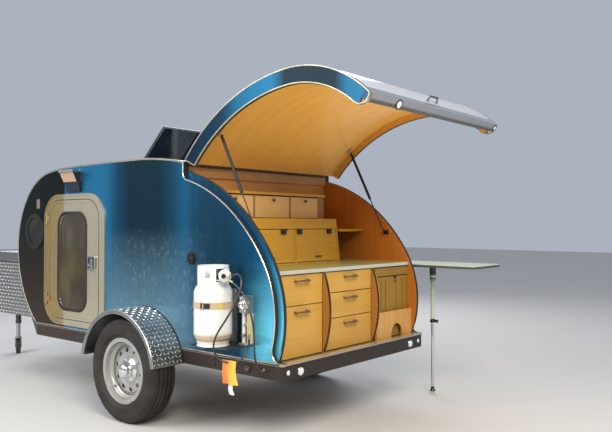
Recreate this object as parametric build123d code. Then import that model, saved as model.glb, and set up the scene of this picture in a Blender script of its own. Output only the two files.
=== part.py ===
from build123d import *
import os
from math import atan2, cos, degrees, radians, sin, tan

# A teardrop camping trailer with an open galley, in millimetres.
# +X points forward to the hitch, +Y to the trailer's left and +Z up.
# Shapes are laid out from the axle's centre line on the ground, and are moved at the
# end so that the origin is the centre of the hitch ball.

# Stance and running gear
AXLE_Z = 335
TYRE_R = 335
TYRE_WIDTH = 200
WHEEL_Y = 895
RIM_LIP_R = 208
RIM_WIDTH = 162
HUB_HOLE_R = 128
HUB_HOLE_COUNT = 10
SPINDLE_R = 16
RUNNING_GAP = 0.05

# Frame and tongue
RAIL_LOW, RAIL_TOP = 397, 487
RAIL_THICK = 50
FRAME_REAR_X, FRAME_FRONT_X = -1165, 1425
BALL_X, BALL_Z = 3060, 440
BALL_R = 25.4

# Body shell
BODY_HALF = 762
WALL = 45
INNER_HALF = BODY_HALF - WALL
BASE_Z = RAIL_TOP
ROOF_T = 40
CROWN = (150, 1727)
# Outline arcs from the crown: radius, turn in degrees
FRONT_ARCS = [(27600, 1.8), (1700, 9.0), (523, 41.5), (658, 37.8), (763, 52.5)]
REAR_ARCS = [(2805, 8.3), (1228, 50.7), (730, 60.0)]

# Hatch
HINGE_X, HINGE_Z = -342, 1684
HATCH_OPEN = 65
HATCH_T = 50
BAND_WIDTH, BAND_T = 98, 21
ROOF_END_X, HATCH_FRONT_X = -336, -348
HATCH_LOW_Z = 500
LIP_HEIGHT = 45
BAND_CORNER = 60
FOOT_GAP = 6
# The wall's recess under the hatch band, as depths inside the outline
JAMB_INSET, SEAM_INSET = 57, 104
RECESS_Y = 735

# Cabin doors and portholes
DOOR_X, DOOR_Z = (581, 1261), (560, 1461)
FRAME_X, FRAME_Z = (506, 1313), (512, 1507)
# Corner radii, from the low rear corner to the high rear, high front and low front
DOOR_CORNERS = (90, 148, 148, 148)
FRAME_CORNERS = (130, 195, 195, 195)
FRAME_PROUD = 6
WINDOW_X, WINDOW_Z = (744, 1112), (635, 1360)
WINDOW_CORNER = 96
DOOR_GAP = 5
DOOR_RIM = 22
DOOR_PIN = (1268, 775)
PORTHOLE = (1458, 1220)
PORTHOLE_R, PORTHOLE_RING_R = 118, 139
SIDE_PORT = (-423, 1066)

# Galley
COUNTER_X, COUNTER_Z = -1105, 986
COUNTER_T = 26
FRONT_X = -1100
PANEL = 18
DIVIDER_INSET = 76
BULKHEAD_LOW_X, BULKHEAD_HIGH_X = -480, -318
DECK_Z = 1322
SHELF_TOP_Z = 1500
SHELF_FRONT_X = -560
UPPER_END_Y = -427
GAP = 5

# Vent, tongue box, jack, tank and table
VENT_X, VENT_HALF = (450, 830), 190
VENT_OPEN = 44
BOX_X, BOX_HALF, BOX_Z = (1800, 2400), 600, (487, 988)
LID_TOP_Z = 1028
JACK_ALONG, JACK_OUT = 90, 133
JACK_PIVOT_Z = 435
JACK_TUBE_Z = (300, 660)
CASTER_R = 72
CASTER_TRAIL = 28
TANK = (-772, 905)
TANK_R = 112
TANK_Z = (580, 1043)
VALVE_Z = 988
# Way from the valve to the regulator, the outlet's length and the regulator's distance
VALVE_WAY = (-0.979, 0.204, 0)
OUTLET_LENGTH, REGULATOR_AWAY = 59, 127
STRAP_Z = (799, 835)
# Cut-outs of the bottle's collar: middle angle, width in degrees, low z, high z
COLLAR_WINDOWS = [(116, 20, 974, 1015), (184, 74, 951, 1027), (296, 60, 951, 1027)]
HOSE_R = 5.5
# Routes of the two gas hoses
HOSE_LONG = [
    (-930, 940, 985), (-984, 940, 1003), (-1036, 952, 1006), (-1074, 972, 972), (-1078, 992, 910),
    (-1050, 1015, 828), (-1003, 1034, 748), (-950, 1041, 680), (-908, 1032, 612), (-896, 1006, 550),
    (-930, 968, 506), (-990, 934, 506), (-1034, 900, 550), (-1014, 850, 600),
    (-968, 806, 634)]
HOSE_SHORT = [
    (-928, 926, 966), (-992, 920, 935), (-1055, 922, 872), (-1096, 925, 792), (-1120, 927, 715),
    (-1121, 922, 640),
    (-1104, 905, 570), (-1082, 868, 505), (-1058, 812, 462), (-1045, 765, 446)]
TABLE_X, TABLE_Y, TABLE_Z = (-1600, -700), (-1225, -780), (970, 990)
LEG = (-1150, -1002)

# Gas struts: eye on the hatch, eye at the wall, and how far out they sit
STRUT_TOP, STRUT_FOOT, STRUT_Y = (-610, 1832), (-915, 1225), 688
TUBE_LENGTH = 400
ROD_START = 292


def block(x, y, z):
    size = [high - low for low, high in (x, y, z)]
    middle = [(high + low) / 2 for low, high in (x, y, z)]
    return Pos(*middle) * Box(*size)


def rod(start, end, radius):
    start, end = Vector(*start), Vector(*end)
    place = Plane(origin=start, z_dir=end - start)
    align = (Align.CENTER, Align.CENTER, Align.MIN)
    return place * Cylinder(radius, (end - start).length, align=align)


def across(sketch, y_low, y_high):
    # A sketch drawn in (x, z), extruded from y_low to y_high
    side = Plane(origin=(0, y_high, 0), x_dir=(1, 0, 0), z_dir=(0, -1, 0))
    return extrude(side * sketch, amount=y_high - y_low)


def span(x, z, radius=0):
    # A rectangle between two x and two z values, with rounded corners
    width, height = x[1] - x[0], z[1] - z[0]
    middle = Pos((x[0] + x[1]) / 2, (z[0] + z[1]) / 2)
    if radius:
        return middle * RectangleRounded(width, height, radius)
    return middle * Rectangle(width, height)


def plate(x, z, corners, grow=0):
    # A rectangle with its own radius at each corner, all moved out by grow
    x_low, x_high = x[0] - grow, x[1] + grow
    z_low, z_high = z[0] - grow, z[1] + grow
    face = span((x_low, x_high), (z_low, z_high))
    points = [(x_low, z_low), (x_low, z_high), (x_high, z_high), (x_high, z_low)]
    for point, corner in zip(points, corners):
        nearest = face.vertices().sort_by_distance(Vector(*point))[0]
        face = fillet(nearest, corner + grow)
    return face


def mirrored(shape):
    return mirror(shape, about=Plane.XZ)


def both_sides(shape):
    return Compound(children=[*shape.solids(), *mirrored(shape).solids()])


def arc_run(start, heading, turn_sign, arcs, inset):
    # Tangent arcs from a start point; the inset moves them all to the inner side
    edges = []
    angle = heading
    normal = angle + 90 * turn_sign
    point = Vector(*start) + Vector(cos(radians(normal)), sin(radians(normal))) * inset
    for radius, turn in arcs:
        reach = radius - inset
        normal = radians(angle + 90 * turn_sign)
        centre = point + Vector(cos(normal), sin(normal)) * reach
        stops = []
        for share in (0.5, 1):
            swing = radians(angle - 90 * turn_sign + turn * turn_sign * share)
            stops.append(centre + Vector(cos(swing), sin(swing)) * reach)
        edges.append(ThreePointArc(point, *stops))
        point = stops[1]
        angle += turn * turn_sign
    return edges, point


def teardrop(inset):
    # The side outline as a face in (x, z), moved in by the inset and cut at the base
    front, toe = arc_run(CROWN, 0, -1, FRONT_ARCS, inset)
    rear, heel = arc_run(CROWN, 180, 1, REAR_ARCS, inset)
    low = BASE_Z - 160
    chin = [Line(toe, (toe.X, low)), Line((toe.X, low), (heel.X, low)), Line((heel.X, low), heel)]
    outline = make_face(front + chin + rear)
    return outline & span((-2000, 2000), (BASE_Z, 2000))


def hatch_turn(shape, angle):
    return shape.rotate(Axis((HINGE_X, 0, HINGE_Z), (0, 1, 0)), angle)


def side_rails():
    rail = block((FRAME_REAR_X, FRAME_FRONT_X), (BODY_HALF - RAIL_THICK, BODY_HALF), (RAIL_LOW, RAIL_TOP))
    return both_sides(rail)


def cross_members():
    half = BODY_HALF - RAIL_THICK
    rows = (-1165, -560, 140, 760, 1375)
    bars = [block((x, x + 50), (-half, half), (RAIL_LOW, BASE_Z - PANEL)) for x in rows]
    return Compound(children=bars)


# Centre line of the left tongue rail, from the frame's corner to the coupler
TONGUE_REAR = Vector(FRAME_FRONT_X, BODY_HALF - RAIL_THICK / 2)
TONGUE_FRONT = Vector(BALL_X - 245, 28)
TONGUE_RUN = TONGUE_FRONT - TONGUE_REAR
TONGUE_SLOPE = degrees(atan2(-TONGUE_RUN.Y, TONGUE_RUN.X))
TONGUE_DEPTH = 72


def tongue_rails():
    beam = Box(TONGUE_RUN.length + 120, RAIL_THICK, TONGUE_DEPTH, align=(Align.MIN, Align.CENTER, Align.MIN))
    start = TONGUE_REAR - TONGUE_RUN.normalized() * 60
    left = Pos(start.X, start.Y, RAIL_LOW) * Rot(0, 0, -TONGUE_SLOPE) * beam
    keep = block((FRAME_FRONT_X, BALL_X - 225), (2, BODY_HALF), (RAIL_LOW, RAIL_TOP))
    return both_sides(left & keep)


def coupler():
    # A pressed A-frame coupler: a wedge over the rails' ends, a nose and its latch
    half_widths = [(-375, 86), (-240, 59), (-90, 42), (-10, 38)]
    plan = half_widths + [(x, -half) for x, half in reversed(half_widths)]
    profile = [(-375, 441), (-240, 416), (-10, 416), (-10, 475), (-240, 475), (-375, 465)]
    body = extrude(Pos(BALL_X, 0, 400) * make_face(Polyline(*plan, close=True)), amount=100)
    body &= Pos(BALL_X, 0, 0) * across(make_face(Polyline(*profile, close=True)), -100, 100)
    body += Pos(BALL_X, 0, 446) * Cylinder(41, 60)
    body += block((BALL_X - 130, BALL_X - 45), (-13, 13), (466, 508))
    body += rod((BALL_X - 60, 0, 502), (BALL_X - 170, 0, 524), 7)
    body -= Pos(BALL_X, 0, (BALL_Z + 1 + 400) / 2) * Cylinder(BALL_R + 0.3, BALL_Z + 1 - 400)
    body -= Pos(BALL_X, 0, BALL_Z + 1) * Sphere(BALL_R + 0.3)
    for rail in tongue_rails().solids():
        body -= rail
    return body.solids().sort_by(SortBy.VOLUME)[-1]


def axle():
    tube = block((95, 165), (-690, 690), (330, 400 - 3))
    arms = []
    for side in (-1, 1):
        arm = across(span((-32, 165), (303, 367), 30), 700, 722)
        stub = rod((130, 640, 363.5), (130, 705, 363.5), 28)
        spindle = rod((0, 715, AXLE_Z), (0, 930, AXLE_Z), SPINDLE_R)
        part = arm + stub + spindle
        arms.append(part if side > 0 else mirrored(part))
    return tube + arms[0] + arms[1]


def tyre():
    half = TYRE_WIDTH / 2
    bead = RIM_LIP_R - 17
    with BuildSketch() as section:
        with BuildLine():
            Polyline((RIM_LIP_R + 4, -77), (bead, -76), (bead, 76), (RIM_LIP_R + 4, 77))
            ThreePointArc((RIM_LIP_R + 4, 77), (262, half), (TYRE_R - 16, 84))
            ThreePointArc((TYRE_R - 16, 84), (TYRE_R - 3, 76), (TYRE_R, 62))
            Line((TYRE_R, 62), (TYRE_R, -62))
            ThreePointArc((TYRE_R, -62), (TYRE_R - 3, -76), (TYRE_R - 16, -84))
            ThreePointArc((TYRE_R - 16, -84), (262, -half), (RIM_LIP_R + 4, -77))
        make_face()
    return section.sketch


def rim():
    # Wheel section in (radius, across), across positive outwards
    lip = RIM_LIP_R
    half = RIM_WIDTH / 2
    barrel = Polyline(
        (lip - 17, -half + 3), (lip, -half + 3), (lip, -half), (lip - 22, -half), (lip - 26, -56),
        (lip - 44, -40), (lip - 44, 34), (lip - 26, 52), (lip - 22, half), (lip, half),
        (lip, half - 3), (lip - 17, half - 3), (lip - 17, 54), (lip - 38, 34), (lip - 38, -40), (lip - 17, -56),
        close=True)
    disc = Polyline(
        (lip - 40, 10), (150, 10), (142, 22), (112, 28), (70, 16), (54, 16), (54, 20),
        (68, 20), (110, 34), (146, 27), (154, 15), (lip - 40, 15), close=True)
    hub = Polyline(
        (SPINDLE_R + RUNNING_GAP, -80), (36, -80), (36, 8), (58, 8), (58, 22), (48, 22), (48, 38),
        (SPINDLE_R + RUNNING_GAP, 38), close=True)
    return [make_face(line) for line in (barrel, disc, hub)]


def wheel_turn(sketch):
    # Spins a (radius, across) section about the left wheel's axle
    plane = Plane(origin=(0, WHEEL_Y, AXLE_Z), x_dir=(1, 0, 0), z_dir=(0, 0, 1))
    return revolve(plane * sketch, axis=Axis((0, WHEEL_Y, AXLE_Z), (0, 1, 0)), revolution_arc=360)


def wheel_disc():
    barrel, disc, hub = [wheel_turn(sketch) for sketch in rim()]
    for index in range(HUB_HOLE_COUNT):
        angle = radians(360 * index / HUB_HOLE_COUNT + 9)
        x, z = HUB_HOLE_R * cos(angle), AXLE_Z + HUB_HOLE_R * sin(angle)
        disc -= rod((x, WHEEL_Y, z), (x, WHEEL_Y + 60, z), 15)
    return barrel + disc + hub


def hub_cap():
    cap = [(0, 40), (44, 40), (44, 24), (78, 24), (78, 30), (58, 42), (50, 60), (44, 80), (30, 92), (0, 96)]
    section = Polyline(*cap, close=True)
    return wheel_turn(make_face(section))


def fenders():
    ring = Pos(40, AXLE_Z) * (Circle(390) - Circle(386))
    flange = Pos(40, AXLE_Z) * (Circle(390) - Circle(366))
    keep = span((-500, 600), (395, 900))
    fender = across(ring & keep, BODY_HALF, 1005) + across(flange & keep, 1001, 1005)
    return both_sides(fender)


def floor():
    half = BODY_HALF - RAIL_THICK
    return block((FRAME_REAR_X, FRAME_FRONT_X), (-half, half), (BASE_Z - PANEL, BASE_Z))


def band_end(inset, low, corner):
    # The strip between the outline and the inset one behind the hinge, down to low,
    # with its inner corner rounded
    strip = (teardrop(0) - teardrop(inset)) & span((-2000, HATCH_FRONT_X), (low, 2000))
    if corner:
        inner = strip.vertices().filter_by(lambda v: abs(v.Y - low) < 1).sort_by(Axis.X)[-1]
        strip = fillet(inner, corner)
    return strip


def wall():
    ahead = span((ROOF_END_X, 2000), (BASE_Z, 2000))
    full = teardrop(0)
    holes = plate(DOOR_X, DOOR_Z, DOOR_CORNERS, DOOR_GAP)
    holes += Pos(*PORTHOLE) * Circle(PORTHOLE_R)
    foot = full & span((-2000, ROOF_END_X), (BASE_Z, HATCH_LOW_Z - FOOT_GAP))
    inner = (full & ahead) + teardrop(JAMB_INSET) + foot - holes
    behind = full & span((-2000, ROOF_END_X + 1), (BASE_Z, 2000))
    opening = band_end(SEAM_INSET, HATCH_LOW_Z - FOOT_GAP, BAND_CORNER + FOOT_GAP)
    outer = (full & ahead) + (behind - opening) - holes
    outer -= span((HATCH_FRONT_X - 1, ROOF_END_X), (1500, 2000)) - teardrop(SEAM_INSET)
    return across(inner, INNER_HALF, RECESS_Y) + across(outer, RECESS_Y, BODY_HALF)


def roof():
    ring = (teardrop(0) - teardrop(ROOF_T)) & span((ROOF_END_X, 2000), (BASE_Z, 2000))
    spar = teardrop(ROOF_T - 5) & span((ROOF_END_X, BULKHEAD_HIGH_X), (1590, 1700))
    shell = across(ring + spar, -INNER_HALF, INNER_HALF)
    return shell - block((VENT_X[0] + 15, VENT_X[1] - 15), (-VENT_HALF + 15, VENT_HALF - 15), (1600, 1800))


def hinge_knuckles(moving):
    # Five barrels on the body and four on the hatch, on one pin
    pitch = 2 * INNER_HALF / 9
    shape = None
    for index in range(9):
        if (index % 2 == 1) != moving:
            continue
        low = -INNER_HALF + index * pitch + 0.5
        high = low + pitch - 1
        barrel = rod((HINGE_X, low, HINGE_Z), (HINGE_X, high, HINGE_Z), 5.5)
        if moving:
            barrel += block((HATCH_FRONT_X, HINGE_X - 3.2), (low, high), (HINGE_Z - 28, HINGE_Z))
            barrel -= rod((HINGE_X, low, HINGE_Z), (HINGE_X, high, HINGE_Z), 2.55)
        else:
            barrel += block((HINGE_X + 3.2, ROOF_END_X), (low, high), (HINGE_Z - 28, HINGE_Z))
        shape = barrel if shape is None else shape + barrel
    if not moving:
        shape += rod((HINGE_X, -INNER_HALF + 1, HINGE_Z), (HINGE_X, INNER_HALF - 1, HINGE_Z), 2.5)
    return shape


def hatch_shell():
    band = across(band_end(BAND_WIDTH, HATCH_LOW_Z, BAND_CORNER), BODY_HALF - BAND_T, BODY_HALF)
    shell = across(band_end(HATCH_T, HATCH_LOW_Z, 0), -BODY_HALF, BODY_HALF) + band + mirrored(band)
    shell -= block((-1400, -1000), (-800, 800), (0, HATCH_LOW_Z + LIP_HEIGHT))
    return hatch_turn(shell, HATCH_OPEN)


def hatch_lip():
    low_edge = span((-1400, -1000), (HATCH_LOW_Z, HATCH_LOW_Z + LIP_HEIGHT))
    rim_edge = (teardrop(-4) - teardrop(HATCH_T + 3)) & low_edge
    rim_edge -= band_end(BAND_WIDTH, HATCH_LOW_Z, 0) - band_end(BAND_WIDTH, HATCH_LOW_Z, BAND_CORNER)
    lip = across(rim_edge, -BODY_HALF, BODY_HALF)
    return hatch_turn(lip, HATCH_OPEN)


def hatch_handle():
    # A pull across the outer skin, drawn at its place on the open hatch
    along = Vector(-1728, 0, 1999) - Vector(-1650, 0, 2043)
    out = Vector(-along.Z, 0, along.X).normalized() * -1
    base = Vector(-1700, 0, 2015)
    stand = base + out * 34
    grip = None
    for side in (-1, 1):
        leg = rod(base + Vector(0, side * 56, 0) - out * 6, stand + Vector(0, side * 44, 0), 5)
        grip = leg if grip is None else grip + leg
    grip += rod(stand - Vector(0, 47, 0), stand + Vector(0, 47, 0), 6)
    return grip - hatch_shell()


def hatch_hinge():
    return hatch_turn(hinge_knuckles(True), HATCH_OPEN)


def door_leaf():
    outer = plate(DOOR_X, DOOR_Z, DOOR_CORNERS)
    inner = plate(DOOR_X, DOOR_Z, DOOR_CORNERS, -DOOR_RIM)
    window = span(WINDOW_X, WINDOW_Z, WINDOW_CORNER)
    leaf = across(outer - window, INNER_HALF, 766) + across(outer - inner, 765, 770)
    leaf += across(span((609, 697), (943, 1046), 12), 765, 784)
    for z in (700, 1320):
        leaf += block((1232, 1256), (765, 775), (z - 22, z + 22))
        leaf += block((1256, DOOR_PIN[0] - 3), (770, 775), (z - 22, z + 22))
        leaf += rod((*DOOR_PIN, z - 22), (*DOOR_PIN, z + 22), 6.5)
        leaf -= rod((*DOOR_PIN, z - 22), (*DOOR_PIN, z + 22), 3.05)
    return leaf


def door_window():
    return across(span(WINDOW_X, WINDOW_Z, WINDOW_CORNER), 752, 757)


def door_frames():
    ring = plate(FRAME_X, FRAME_Z, FRAME_CORNERS) - plate(DOOR_X, DOOR_Z, DOOR_CORNERS, DOOR_GAP)
    rib = plate(FRAME_X, FRAME_Z, FRAME_CORNERS) - plate(FRAME_X, FRAME_Z, FRAME_CORNERS, -14)
    frame = across(ring, BODY_HALF, BODY_HALF + FRAME_PROUD)
    frame += across(rib, BODY_HALF, BODY_HALF + FRAME_PROUD + 4)
    x, y = DOOR_PIN
    for z in (700, 1320):
        for low in (z - 44, z + 22.5):
            frame += rod((x, y, low), (x, y, low + 21.5), 6.5)
            frame += block((x, x + 30), (BODY_HALF + FRAME_PROUD, y), (low, low + 21.5))
        frame += rod((x, y, z - 44), (x, y, z + 44), 3)
    return both_sides(frame)


def porthole_rings():
    ring = Pos(*PORTHOLE) * (Circle(PORTHOLE_RING_R) - Circle(PORTHOLE_R - 8))
    x, z = SIDE_PORT
    port = rod((x, BODY_HALF, z), (x, BODY_HALF + 7, z), 39)
    port += rod((x, BODY_HALF + 6, z), (x, BODY_HALF + 18, z), 30)
    return Compound(children=[*both_sides(across(ring, BODY_HALF, BODY_HALF + 12)).solids(), port])


def porthole_glass():
    return both_sides(across(Pos(*PORTHOLE) * Circle(PORTHOLE_R), 750, BODY_HALF))


def bulkhead():
    half = INNER_HALF
    low = block((BULKHEAD_LOW_X, BULKHEAD_LOW_X + PANEL), (-half, half), (BASE_Z, COUNTER_Z))
    step = block((BULKHEAD_LOW_X, BULKHEAD_HIGH_X + PANEL), (-half, half), (COUNTER_Z - PANEL, COUNTER_Z))
    upper = span((BULKHEAD_HIGH_X, BULKHEAD_HIGH_X + PANEL), (COUNTER_Z - PANEL, 2000))
    high = across(teardrop(ROOF_T) & upper, -half, half)
    return low + step + high


def counter():
    return block((COUNTER_X, BULKHEAD_HIGH_X), (-INNER_HALF, INNER_HALF), (COUNTER_Z, COUNTER_Z + COUNTER_T))


# Bays under the counter: low y, high y, and the drawer fronts as low z, high z
BAYS = [
    (290, INNER_HALF, [(494, 795.5), (801, 981)]),
    (-245, 270, [(494, 685.5), (691, 846.5), (852, 981)]),
]
DIVIDERS = [270, -265]
DIVIDER_T = 20
DRAWER_DEPTH = 520
FENCE_X, FENCE_TOP_Z = -1132, 676


def lower_cabinet():
    side = teardrop(DIVIDER_INSET) & span((-1400, BULKHEAD_LOW_X), (BASE_Z, COUNTER_Z))
    parts = [across(side, low, low + DIVIDER_T) for low in DIVIDERS]
    for y_low, y_high, fronts in BAYS:
        for z_low, z_high in fronts:
            for y in (y_low, y_high - 12):
                parts.append(block((FRONT_X + 30, BULKHEAD_LOW_X), (y, y + 12), (z_low + 4, z_low + 18)))
    fence_y = (-INNER_HALF, DIVIDERS[1])
    fence = block((FENCE_X, FENCE_X + 15), fence_y, (BASE_Z, FENCE_TOP_Z))
    arch = span((-590, -450), (BASE_Z - 10, 515)) + Pos(-520, 515) * Circle(70)
    cut = Plane(origin=(FENCE_X - 10, 0, 0), x_dir=(0, 1, 0), z_dir=(1, 0, 0)) * arch
    fence -= extrude(cut, amount=40)
    shape = parts[0]
    for part in parts[1:] + [fence]:
        shape += part
    return shape


def drawer(bay, row):
    y_low, y_high, fronts = BAYS[bay]
    z_low, z_high = fronts[row]
    y = (y_low + GAP, y_high - GAP)
    shape = block((FRONT_X, FRONT_X + PANEL), y, (z_low, z_high))
    back = FRONT_X + DRAWER_DEPTH
    inner_y = (y_low + 13, y_high - 13)
    z = (z_low + 19, z_high - 30)
    tray = block((FRONT_X + PANEL, back), inner_y, z)
    tray -= block((FRONT_X + PANEL, back - 12), (inner_y[0] + 12, inner_y[1] - 12), (z[0] + 9, z[1] + 20))
    shape += tray
    middle = sum(y) / 2
    pull_z = z_high - 36
    pull = rod((FRONT_X - 22, middle - 56, pull_z), (FRONT_X - 22, middle + 56, pull_z), 5)
    for side in (-44, 44):
        pull += rod((FRONT_X + 2, middle + side, pull_z), (FRONT_X - 22, middle + side, pull_z), 4)
    return shape + pull


# Sloping front of the upper cabinet, in (x, z), low to high
FACE_LOW, FACE_HIGH = (-700, COUNTER_Z + COUNTER_T), (-663, DECK_Z)
# Doors of the upper cabinet: low y, high y
FLAPS = [(80, 560), (-404, 55)]
FLAP_Z = (1024, 1246)
# Little drawers over it: low y, high y
TRAYS = [(350, 700), (-15, 330), (-335, -35)]
TRAY_Z = (1328, 1474)


# Pin of the cabinet doors' hinges in (x, z), and where the hinges sit on a door
FLAP_PIN = (-677, 1250)
FLAP_HINGE_IN = 60


def flap_barrels(moving):
    # Each hinge has a middle barrel on the door and one each side of it on the cabinet
    spans = []
    for y_low, y_high in FLAPS:
        for middle in (y_low + FLAP_HINGE_IN, y_high - FLAP_HINGE_IN):
            if moving:
                spans.append((middle - 10, middle + 10))
            else:
                spans += [(middle - 24, middle - 10.5), (middle + 10.5, middle + 24)]
    return spans


def face_x(z):
    share = (z - FACE_LOW[1]) / (FACE_HIGH[1] - FACE_LOW[1])
    return FACE_LOW[0] + share * (FACE_HIGH[0] - FACE_LOW[0])


def sloped(z_low, z_high, thick):
    # A strip along the sloping front, in (x, z)
    foot, head = face_x(z_low), face_x(z_high)
    points = [(foot, z_low), (foot + thick, z_low), (head + thick, z_high), (head, z_high)]
    return make_face(Polyline(*points, close=True))


def upper_cabinet():
    back = BULKHEAD_HIGH_X
    low_z = FACE_LOW[1]
    face = across(sloped(low_z, DECK_Z, PANEL), UPPER_END_Y, INNER_HALF)
    for y_low, y_high in FLAPS:
        face -= block((-760, -600), (y_low - GAP, y_high + GAP), (FLAP_Z[0] - GAP, FLAP_Z[1] + GAP))
    deck = DECK_Z - PANEL
    corners = [(face_x(low_z) + PANEL, low_z), (back, low_z), (back, deck), (face_x(deck) + PANEL, deck)]
    side = make_face(Polyline(*corners, close=True))
    cabinet = face + across(side, UPPER_END_Y, UPPER_END_Y + PANEL)
    cabinet += block((face_x(DECK_Z) + PANEL - 2, back), (UPPER_END_Y, INNER_HALF), (DECK_Z - PANEL, DECK_Z))
    shelf_end = UPPER_END_Y + PANEL
    cabinet += block((SHELF_FRONT_X - 15, back), (shelf_end, INNER_HALF), (SHELF_TOP_Z - PANEL, SHELF_TOP_Z))
    uprights = [(700 + GAP, INNER_HALF), (330 + GAP, 350 - GAP), (-35 + GAP, -15 - GAP)]
    uprights.append((shelf_end, -335 - GAP))
    for y_low, y_high in uprights:
        cabinet += block((SHELF_FRONT_X, back), (y_low, y_high), (DECK_Z, SHELF_TOP_Z - PANEL))
    for y_low, y_high in TRAYS:
        for y in (y_low + 20, y_high - 32):
            cabinet += block((SHELF_FRONT_X + 20, back), (y, y + 12), (DECK_Z, TRAY_Z[0] - 1))
    cabinet += block((-700, back), (-INNER_HALF, UPPER_END_Y), (1230, 1248))
    for low, high in flap_barrels(False):
        cabinet += rod((FLAP_PIN[0], low, FLAP_PIN[1]), (FLAP_PIN[0], high, FLAP_PIN[1]), 4)
        cabinet += block((FLAP_PIN[0], FLAP_PIN[0] + 12), (low, high), (FLAP_PIN[1], FLAP_PIN[1] + 4))
    for low, high in flap_barrels(True):
        cabinet += rod((FLAP_PIN[0], low - 2, FLAP_PIN[1]), (FLAP_PIN[0], high + 2, FLAP_PIN[1]), 1.5)
    return cabinet


def flap(index):
    y_low, y_high = FLAPS[index]
    door = across(sloped(FLAP_Z[0], FLAP_Z[1], 15), y_low, y_high)
    middle = (y_low + y_high) / 2
    z = FLAP_Z[0] + 34
    door += block((face_x(z) - 12, face_x(z) + 4), (middle - 30, middle + 30), (z - 5, z + 5))
    x, z = FLAP_PIN
    for low, high in flap_barrels(True):
        if y_low < low < y_high:
            door += rod((x, low, z), (x, high, z), 4) + block((x, x + 12), (low, high), (z - 10, z - 2))
            door -= rod((x, low - 1, z), (x, high + 1, z), 1.55)
    return door


def tray(index):
    y_low, y_high = TRAYS[index]
    front = block((SHELF_FRONT_X, SHELF_FRONT_X + 12), (y_low, y_high), TRAY_Z)
    rear = SHELF_FRONT_X + 12
    box = block((rear, rear + 200), (y_low + 3, y_high - 3), (TRAY_Z[0], TRAY_Z[1] - 12))
    box -= block((rear, rear + 190), (y_low + 13, y_high - 13), (TRAY_Z[0] + 8, TRAY_Z[1] + 10))
    middle = (y_low + y_high) / 2
    knob = rod((SHELF_FRONT_X + 2, middle, 1448), (SHELF_FRONT_X - 12, middle, 1448), 6)
    knob += rod((SHELF_FRONT_X - 10, middle, 1448), (SHELF_FRONT_X - 18, middle, 1448), 11)
    return front + box + knob


def icebox():
    y = (-INNER_HALF + 14, DIVIDERS[1] - 34)
    body = block((FRONT_X, -620), y, (BASE_Z, 915))
    for y_groove in (-360, -420, -560, -640):
        body -= block((FRONT_X - 5, FRONT_X + 7), (y_groove - 10, y_groove + 10), (560, 890))
    lid = block((FRONT_X - 6, -614), (y[0] - 6, y[1] + 6), (921, 978))
    return body + lid + block((FRONT_X + 8, -630), (y[0] + 8, y[1] - 8), (900, 930))


def rear_bumper():
    beam = block((-1190, FRAME_REAR_X), (-BODY_HALF, BODY_HALF), (RAIL_LOW - 2, RAIL_TOP))
    cap = block((-1194, FRAME_REAR_X + 6), (-INNER_HALF + 1, INNER_HALF - 1), (RAIL_TOP, RAIL_TOP + 7))
    return beam + cap


def lamps():
    parts = [rod((-1190, y, 437), (-1200, y, 437), 21) for y in (-600, 612)]
    for side in (-1, 1):
        parts.append(rod((-917, side * BODY_HALF, 440), (-917, side * (BODY_HALF + 12), 440), 20))
        low, high = sorted((side * BODY_HALF, side * (BODY_HALF + 5)))
        parts.append(block((1397, 1427), (low, high), (1407, 1471)))
    return Compound(children=parts)


def porch_lights():
    # A hood over a tilted lens, and the base that it is screwed to
    wall = BODY_HALF
    hood = Polyline((wall, 1668), (wall + 84, 1668), (wall + 84, 1678), (wall, 1683), close=True)
    lens = Polyline((wall + 4, 1600), (wall + 44, 1592), (wall + 80, 1669), (wall + 4, 1669), close=True)
    taper = [(wall, 1519), (wall + 20, 1525), (wall + 34, 1596), (wall + 8, 1602)]
    base = Polyline(*taper, (wall + 8, 1669), (wall, 1669), close=True)
    light = None
    for outline, x_low, x_high in ((hood, 801, 989), (lens, 808, 982), (base, 806, 984)):
        plane = Plane(origin=(x_low, 0, 0), x_dir=(0, 1, 0), z_dir=(1, 0, 0))
        piece = extrude(plane * make_face(outline), amount=x_high - x_low)
        light = piece if light is None else light + piece
    return both_sides(light)


def vent_base():
    ring = block(VENT_X, (-VENT_HALF, VENT_HALF), (1700, 1755))
    ring -= block((VENT_X[0] + 30, VENT_X[1] - 30), (-VENT_HALF + 30, VENT_HALF - 30), (1600, 1800))
    step = across(teardrop(0) & span((0, 1200), (1500, 1800)), -500, 500)
    ring -= step
    for y in (-120, 120):
        ear = rod((VENT_X[1] + 8, y - 24, 1766), (VENT_X[1] + 8, y - 10, 1766), 7)
        ear += block((VENT_X[1] - 6, VENT_X[1] + 8), (y - 24, y - 10), (1730, 1766))
        ear += rod((VENT_X[1] + 8, y - 24, 1766), (VENT_X[1] + 8, y + 12, 1766), 3)
        ring += ear
    return ring


def vent_lid():
    lid = block((VENT_X[0] - 6, VENT_X[1] - 8), (-VENT_HALF - 6, VENT_HALF + 6), (1761, 1790))
    lid = fillet(lid.edges().group_by(Axis.Z)[-1], 14)
    lid -= block((VENT_X[0], VENT_X[1] - 14), (-VENT_HALF, VENT_HALF), (1750, 1780))
    for y in (-120, 120):
        lid += block((VENT_X[1] - 12, VENT_X[1] + 8), (y - 9, y + 9), (1762, 1770))
        lid += rod((VENT_X[1] + 8, y - 9, 1766), (VENT_X[1] + 8, y + 9, 1766), 7)
        lid -= rod((VENT_X[1] + 8, y - 9, 1766), (VENT_X[1] + 8, y + 9, 1766), 3.05)
    return lid.rotate(Axis((VENT_X[1] + 8, 0, 1766), (0, 1, 0)), VENT_OPEN)


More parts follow.
